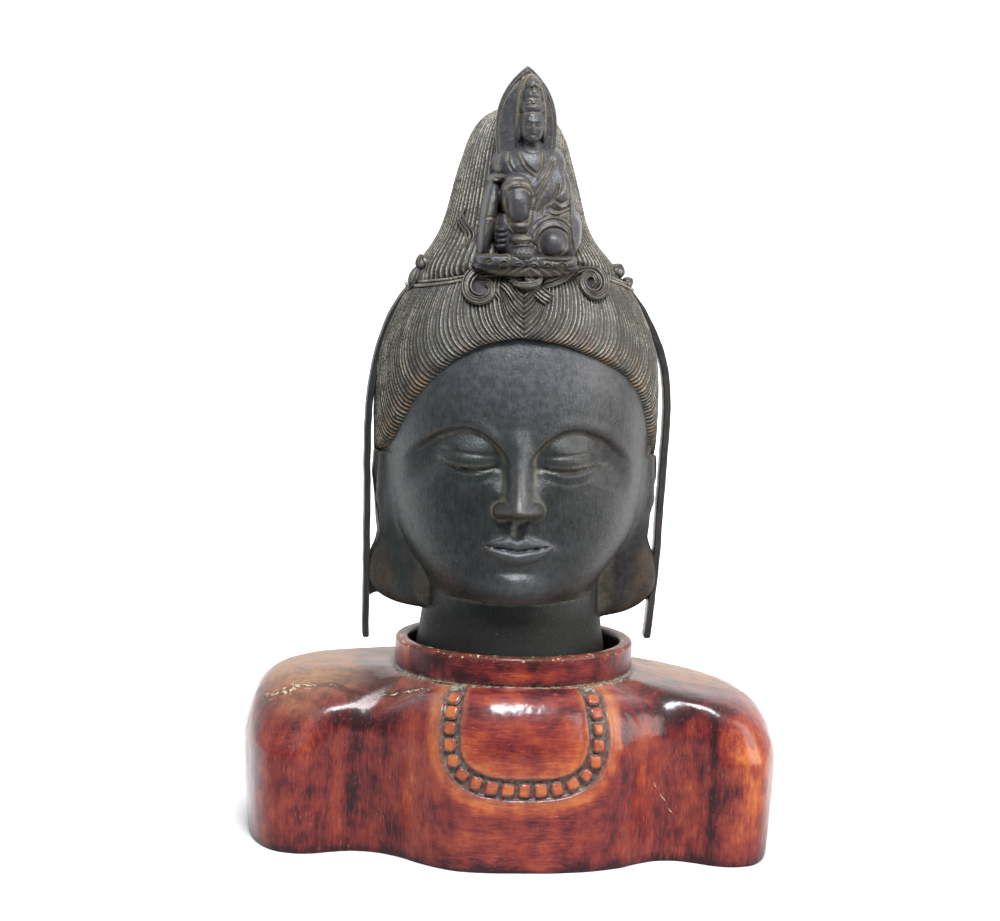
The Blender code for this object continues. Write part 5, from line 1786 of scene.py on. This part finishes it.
def ground_depth(x, z):
    """Depth of what lies behind the figure: the topknot, or the halo where that stands further forward."""
    heights, halves, leans = topknot_line.T
    half, lean = np.interp(z, heights, halves), np.interp(z, heights, leans)
    across = np.clip((x - HEAD_X - lean) / half, -0.99, 0.99)
    knot = -TOPKNOT_Y + TOPKNOT_DEPTH * half * np.sqrt(1 - across**2)
    on_knot = (z < 378) & (np.abs(x - HEAD_X - lean) < half)
    on_plate = (np.abs(x - HALO_X) < halo_half(z) - 0.6) & (z > 342)
    behind = np.maximum(np.where(on_knot, knot, 0), np.where(on_plate, HALO_FRONT, 0))
    return np.where(on_knot | on_plate, behind, 99)


figure_grid, figure_cut = relief_grid()
hood_dust = drawn(figure_grid[..., [0, 2]].reshape(-1, 2), HOOD_EDGE, 1.2).reshape(figure_cut.shape)
buried = -figure_grid[..., 1] < ground_depth(figure_grid[..., 0], figure_grid[..., 2]) - 1.2
figure = skin("crown_figure", figure_grid, around=False)
figure_hollow = np.maximum(smoothstep(0, 0.75, -figure_cut), 0.75 * hood_dust)
keep_numbers(figure, polish=0.45, ridge=smoothstep(0.1, 0.8, figure_cut), hollow=figure_hollow)
trimmed = bmesh.new()
trimmed.from_mesh(figure.data)
trimmed.verts.ensure_lookup_table()
gone = [vertex for vertex, hidden in zip(trimmed.verts, buried.ravel()) if hidden]
bmesh.ops.delete(trimmed, geom=gone, context="VERTS")
trimmed.to_mesh(figure.data)
trimmed.free()
place_piece(figure, *HEAD, figure_finish)
print(f"{len(gone)} points of its grid lay behind the topknot's surface")

# %% [markdown]
# ### Halo
#
# A thin leaf that rises to a point behind the little head. Its front carries a fine raised rim and a groove
# inside it; the back is plain. It is modelled as rings that follow its outline from the front's middle, over
# the edge, to the middle of the back.

# %% Halo
HALO_FOOT = 342


HALO_MIDDLE = np.array([HALO_X, HALO_WIDEST])
HALO_PROFILE = (
    (0.02, -1.5), (0.3, -1.5), (0.6, -1.6), (0.8, -1.7), (0.855, -1.75), (0.87, -1.3), (0.89, -1.3),
    (0.905, -1.9), (0.93, -2.1), (0.945, -2), (0.955, -1.7), (0.97, -2), (0.99, -1.9), (1, -1.2),
    (1, 0.6), (0.985, 1.2), (0.9, 1.4), (0.5, 1.5), (0.02, 1.5),
)


def halo_grid():
    """Rings that shrink from the halo's outline to its middle, and each point's depth in the profile."""
    rise = np.linspace(0, 1, 70)[:-1] ** 0.9, np.linspace(1, 0, 70)[:-1] ** 0.9
    heights = HALO_FOOT + (HALO_TIP - HALO_FOOT) * np.concatenate(rise)
    edge = joined(HALO_X + np.repeat([1, -1], 69) * halo_half(heights), heights)
    share, depth = [column[::-1, None] for column in np.transpose(HALO_PROFILE)]
    rings = HALO_MIDDLE + (edge - HALO_MIDDLE) * share[..., None]
    return joined(rings[..., 0], HALO_Y + depth, rings[..., 1]), depth + 0 * heights


halo_points, halo_depths = halo_grid()
halo_points = halo_points + np.array([0, 0.12, 0]) * rough(halo_points, 2.5, 83)[..., None]
place_piece(
    skin("halo_leaf", halo_points, close_low=True, close_high=True), *HEAD, figure_finish,
    hollow=smoothstep(-1.5, -1.35, halo_depths) * smoothstep(-1, -1.2, halo_depths), polish=0.9,
    ridge=smoothstep(-1.9, -2.1, halo_depths),
)

# %% [markdown]
# ## Band, scrolls and buds
#
# A double band closes the combed hair. In front it rises under the cushion, where two cloud scrolls and a
# tight curl between them cover the join; small buds stand beside the ribbons' roots. All of them are ridges
# that lie on the hair, so one function rolls a bar along a curve and keeps it upright on the surface.

# %% Bars laid on the hair


def hair_point(x, z, lift=0):
    """The point on the front of the combed hair at x and z, lifted off it, and the way it faces there."""
    middle, half, front = [np.interp(z, hair_line[:, 0], hair_line[:, k]) for k in (1, 2, 3)]
    across = np.clip((x - HEAD_X) / half, -0.985, 0.985)
    y = middle - front * sqrt(1 - across**2)
    steep = 0.35 + 0.9 * float(smoothstep(272, 300, z))
    direction = np.array([across / half * front, -sqrt(1 - across**2), 0])
    direction = direction / np.linalg.norm(direction) + np.array([0, 0, steep])
    direction /= np.linalg.norm(direction)
    return np.array([x, y, z]) + direction * lift, direction


def rolled_bar(points, facings, half_width, height, closed=False):
    """Rows of an oval bar along points. facings say which way is up; its two half sizes may vary along it."""
    points, facings = np.array(points), np.array(facings)
    ahead = np.gradient(points, axis=0)
    if closed:
        ahead = np.roll(points, -1, axis=0) - np.roll(points, 1, axis=0)
    side = unit(np.cross(facings, unit(ahead)))
    turn = full_turn(10)[None, :, None]
    wide, tall = [np.broadcast_to(size, len(points))[:, None, None] for size in (half_width, height)]
    return points[:, None] + (side[:, None] * wide * np.cos(turn) + facings[:, None] * tall * np.sin(turn))


def merged(name, grids):
    """One mesh from several closed bars."""
    whole = bmesh.new()
    for grid in grids:
        part = skin(name + "_part", grid, close_low=True, close_high=True)
        whole.from_mesh(part.data)
        bpy.data.objects.remove(part)
    mesh = bpy.data.meshes.new(name)
    bmesh.ops.recalc_face_normals(whole, faces=whole.faces)
    whole.to_mesh(mesh)
    whole.free()
    mesh.shade_smooth()
    return new_object(name, mesh)


def bar_on_hair(line, half_width, height, lift, beside=0):
    """A bar along a curve of (x, z) points on the front of the hair, thinner at both ends."""
    path = curve_through(line, 8)
    ahead = np.gradient(path, axis=0)
    path = path + beside * joined(-ahead[:, 1], ahead[:, 0]) / np.linalg.norm(ahead, axis=1)[:, None]
    points, facings = zip(*[hair_point(x, z, lift) for x, z in path])
    along = np.linspace(0, 1, len(path))
    thin = np.clip(np.minimum(along, 1 - along) / 0.18, 0.12, 1) ** 0.6
    return rolled_bar(points, facings, half_width * thin, height * thin)


# %% Band under the topknot


def band_bars():
    """Two bars round the head, one above the other."""
    turn = np.linspace(-pi, pi, 240, endpoint=False)
    facing = unit(joined(np.sin(turn), -np.cos(turn), 0.55))
    bars = []
    for rise, out in ((-0.3, 0.3), (-2.2, 0.5)):
        z = band_height(turn) + rise
        radius = hair_surface(turn, z) + out
        points = joined(HEAD_X + radius * np.sin(turn), -radius * np.cos(turn), z)
        grid = rolled_bar(points, facing, 0.75, 0.9, closed=True)
        bars.append(np.concatenate([grid, grid[:1]]))
    return bars


band = merged("hair_band", band_bars())
place_piece(band, *HEAD, hair_finish, hollow=0.15, ridge=0.75)

# %% Cloud scrolls and the curl between them
LEFT_SCROLL = (
    (-11.5, 296.6), (-18, 297.2), (-24, 297), (-29.3, 294.4), (-32.2, 289.6), (-31.6, 284.6),
    (-27.4, 282), (-22.4, 283), (-20, 286.6), (-21.6, 290.2), (-25.4, 290.6),
)
LEFT_INNER = (
    (-17.6, 294.6), (-24, 294.7), (-28, 292.2), (-29.8, 288.8), (-29, 285.8), (-25.8, 284.6),
    (-22.8, 286),
)
RIGHT_SCROLL = (
    (5.4, 289.6), (9.4, 290.7), (14.2, 292.7), (18, 295.2), (22.4, 298.2), (29, 299), (34.8, 296.6),
    (37, 291.4), (35.6, 286.8), (31, 284.8), (26.6, 287), (24.6, 290.8), (26.6, 294.4), (30.4, 294.6),
    (32, 291.6), (29.8, 289.8),
)
RIGHT_INNER = (
    (20.6, 294.4), (25.4, 296.6), (30.4, 296.4), (33.8, 293.6), (34.2, 290), (31.6, 287.4), (28.4, 288.4),
)
CURL = (
    (-11.1, 291.5), (-7.8, 289.4), (-4.2, 289), (-0.6, 289.2), (2.6, 290.8), (2.8, 293.8), (0.2, 295.6),
    (-2.6, 294.6), (-3.2, 292.2), (-1.4, 290.8), (0.4, 291.8), (-0.2, 293.2),
)
SHORT_LOCKS = (
    ((4.4, 293.9), (8.4, 296.2), (13.6, 297)),
    ((4.8, 292.4), (9.2, 294), (14.8, 295.6)),
    ((3.6, 288.8), (6.4, 286.6), (9.6, 284.8)),
    ((1.8, 288), (4.6, 285.4), (8.6, 283.2)),
    ((0.4, 287), (3.4, 284.2), (7.2, 281.8)),
    ((-14, 294), (-9.6, 294.4), (-5.2, 293.4)),
    ((-16, 291), (-12.4, 287.4), (-9.8, 283.6)),
    ((-23.6, 292.6), (-19.6, 288.2), (-16.4, 283.6)),
)
APRON_X, APRON_Z = -2.5, 299


def swelling(x0, z0, wide, tall, rows, columns, point_at):
    """Rings of a rounded pad. point_at gives a point for x, z and how high the pad is there, from 0 to 1."""
    grid = []
    for share in np.linspace(1, 0.05, rows):
        high = sqrt(1 - share**2 * 0.98)
        ring = [(x0 + wide * share * cos(a), z0 + tall * share * sin(a)) for a in full_turn(columns)]
        grid.append([point_at(x, z, high) for x, z in ring])
    return np.array(grid)


def bed(x0, z0, wide, tall, height):
    """A low rounded pad on the hair that carries a scroll."""
    return swelling(x0, z0, wide, tall, 12, 40, lambda x, z, high: hair_point(x, z, height * high - 0.6)[0])


def apron_point(x, z, high):
    """A point of the swelling under the cushion, which comes forward nearly as far as the cushion does."""
    curls = sin(1.25 * abs(x - APRON_X) + 1.5 * (z - APRON_Z))
    return x, hair_point(x, 291)[0][1] - (6.6 * high - 1.4 + 0.6 * curls), z


bars = [bar_on_hair(line, 1.9, 1.3, 1) for line in (LEFT_SCROLL, RIGHT_SCROLL)]
bars.append(bar_on_hair(CURL, 1.4, 1.4, 2.2))
for line, gap, lift in ((LEFT_SCROLL, 1.2, 2), (RIGHT_SCROLL, 1.2, 2), (CURL, 0.8, 3.2)):
    bars += [bar_on_hair(line, 0.55, 0.9, lift, side * gap) for side in (-1, 0, 1)]
bars += [bar_on_hair(line, 0.6, 0.9, 1.6) for line in (LEFT_INNER, RIGHT_INNER)]
bars += [bar_on_hair(line, 0.55, 0.7, 0.9, side * 0.7) for line in SHORT_LOCKS for side in (-1, 1)]
beds = [bed(-25.5, 289.5, 7.2, 7.6, 1), bed(30, 291.6, 7.2, 7.2, 1), bed(-0.8, 292.2, 5, 4.6, 1.6)]
beds.append(swelling(APRON_X, APRON_Z, 24, 4.4, 22, 120, apron_point))
scrolls = merged("cloud_scrolls", bars + beds)
facing_out = np.array([0.6 * v.normal.z - 0.8 * v.normal.y for v in scrolls.data.vertices])
on_bars = np.arange(len(facing_out)) < sum(bar.shape[0] * bar.shape[1] for bar in bars)
# Painted light: pale dust and crest colour under the cushion lift that recess out of its shadow.
under_cushion = np.array([v.co.z > 0.2925 and abs(v.co.x) < 0.022 for v in scrolls.data.vertices]) & ~on_bars
place_piece(
    scrolls, *HEAD, scroll_finish,
    hollow=np.maximum(smoothstep(0.7, 0.1, facing_out), 0.6 * under_cushion),
    ridge=np.maximum(smoothstep(0.8, 0.98, facing_out) * on_bars, 0.22 * under_cushion),
)

# %% Buds, leaves and the loose curl on the topknot
PODS = (
    ((-52.5, -13, 298.6), (4, 5, 4.8), -0.35, 5, 0.2, 0),
    ((-56.4, -12, 291.5), (3.3, 6, 7), 0.42, 4, 0.25, 0.6),
    ((-51.4, -15.5, 290.8), (4.2, 5, 6.4), 0.15, 6, 0.2, 0.8),
    ((46.2, -13, 296.6), (4.4, 5.4, 4.4), 0.5, 5, 0.22, 0.4),
    ((52, -10, 290.8), (3.2, 5, 3.4), 0.9, 4, 0.2, 0),
)
WISP_HAIRS = ((0, 1), (1.9, 0.75), (-1.9, 0.75))
WISP_POINTS = 30


def pod(place, size, lean, petals, depth, swirl):
    """A closed bud with petal grooves. place is its middle and lean its tilt sideways, in radians."""
    turn = full_turn(48)
    c, s = cos(lean), sin(lean)
    rows = []
    for share in np.linspace(0.02, 0.98, 26):
        swell = sin(pi * share) ** 0.75
        groove = 1 - depth * np.abs(np.cos(petals * (turn + swirl * share) / 2)) ** 5
        x = size[0] * swell * groove * np.cos(turn)
        y = size[1] * swell * groove * np.sin(turn)
        z = size[2] * (2 * share - 1) + 0 * turn
        rows.append(joined(place[0] + x * c + z * s, place[1] + y, place[2] + z * c - x * s))
    return np.array(rows)


def wisp_hair(offset, size):
    """One of the thin hairs that lie loose on the topknot's left."""
    share = np.linspace(0, 1, WISP_POINTS)
    z = 305 + 22 * share
    x = -35.5 + 3.4 * np.sin(2 * pi * share - 0.6) + 5 * share + offset * np.sin(pi * share)
    half = np.interp(z, *np.transpose(TOPKNOT)[:2])
    across = np.clip((x - (HEAD_X - 3.2)) / (half + 1.5), -0.97, 0.97)
    ahead = np.sqrt(1 - across**2)
    thin = np.sin(pi * np.linspace(0.06, 0.94, WISP_POINTS)) ** 0.5
    points = joined(x, TOPKNOT_Y - (half + 1) * TOPKNOT_DEPTH * ahead, z)
    return rolled_bar(points, joined(across, -ahead, 0.15), 0.8 * size * thin, 1.2 * size * thin)


buds = merged("buds_and_wisp", [pod(*row) for row in PODS] + [wisp_hair(*row) for row in WISP_HAIRS])
facing_out = np.array([-v.normal.y for v in buds.data.vertices])
place_piece(
    buds, *HEAD, scroll_finish,
    hollow=smoothstep(0.7, 0.2, facing_out), ridge=smoothstep(0.75, 0.97, facing_out),
)

# %% [markdown]
# ## Ribbons
#
# Two flat ribbons hang from the buds beside the ears. They follow the hair down to the temples, then stand
# clear and drop nearly straight, held by a small web of bronze at the ear lobes. Each is a thin strip seen on
# its edge from the front, with a groove along its broad outer side and softly rounded corners.

# %% Ribbon strips
RIBBON_THICK = 3.8
RIBBON_WIDE = 11
RIBBON_LINES = {
    -1: (
        (-49, 291), (-57, 284), (-65.5, 270), (-72, 250), (-75.3, 228), (-76, 205), (-75.5, 175),
        (-75.3, 145), (-74.9, 105),
    ),
    1: (
        (48, 293), (55.5, 286), (65.5, 272), (73.5, 254), (77, 236), (77.3, 215), (76, 185), (74.2, 145),
        (71, 106),
    ),
}
RIBBON_SECTION = (
    (0.5, -0.42), (0.5, -0.34), (0.36, -0.28), (0.36, 0.28), (0.5, 0.34), (0.5, 0.42), (0.42, 0.5),
    (0, 0.5), (-0.4, 0.5), (-0.5, 0.42), (-0.5, 0), (-0.5, -0.42), (-0.4, -0.5), (0, -0.5), (0.42, -0.5),
)


def ribbon_grid(hand):
    """Rings of the strip from its lower end up. The section's first number points away from the head."""
    path = curve_through(RIBBON_LINES[hand], 14)[::-1]
    run = running(np.hypot(*np.diff(path, axis=0).T))
    along = np.linspace(0, run[-1], 190)[:, None]
    x, z = [np.interp(along, run, column) for column in path.T]
    ahead = unit(np.hstack([np.gradient(x, axis=0), np.gradient(z, axis=0)]))
    waver = 0.25 * rough(joined(x / 8, z / 8, 0), 1, 90 + hand)
    rounding = np.clip((along + 0.6) / 1.4, 0.3, 1) ** 0.5
    section = np.array(RIBBON_SECTION[::-hand])
    out = section[:, 0] * RIBBON_THICK * 0.92 * rounding + waver
    deep = section[:, 1] * RIBBON_WIDE * rounding
    return joined(HEAD_X + x + ahead[:, 1:] * hand * out, deep, z - ahead[:, :1] * hand * out), section


for hand, side in ((-1, "left"), (1, "right")):
    strip, section = ribbon_grid(hand)
    edge = (np.abs(section[:, 0]) > 0.38) & (np.abs(section[:, 1]) > 0.33)
    sunk = np.abs(section[:, 0] - 0.36) < 0.01
    place_piece(
        skin(f"ribbon_{side}", strip, close_low=True, close_high=True), *HEAD, face_finish,
        hollow=0.7 * sunk + 0.25 * smoothstep(0.6, 1, rough(strip, 6, 94)),
        ridge=0.5 * edge + 0 * strip[..., 0],
    )


# %% Webs at the lobes
WEB_HEIGHTS = {-1: 138, 1: 136}
WEB_OUTER, WEB_INNER = 75, 63


def web_grid(hand):
    """A flat bridge between the ribbon and the ear lobe, wider where it meets each of them."""
    turn = full_turn(24) * -hand
    share = np.linspace(0, 1, 14)[:, None]
    pinch = 1 + 0.35 * (2 * share - 1) ** 2
    outer, inner = HEAD_X + hand * WEB_OUTER, HEAD_X + hand * WEB_INNER
    x = outer + (inner - outer) * share
    return joined(x, 0.4 + 2.6 * pinch * np.cos(turn), WEB_HEIGHTS[hand] + 10 * pinch * np.sin(turn))


webs = merged("lobe_webs", [web_grid(-1), web_grid(1)])
place_piece(webs, *HEAD, face_finish, hollow=0.5, ridge=0.1)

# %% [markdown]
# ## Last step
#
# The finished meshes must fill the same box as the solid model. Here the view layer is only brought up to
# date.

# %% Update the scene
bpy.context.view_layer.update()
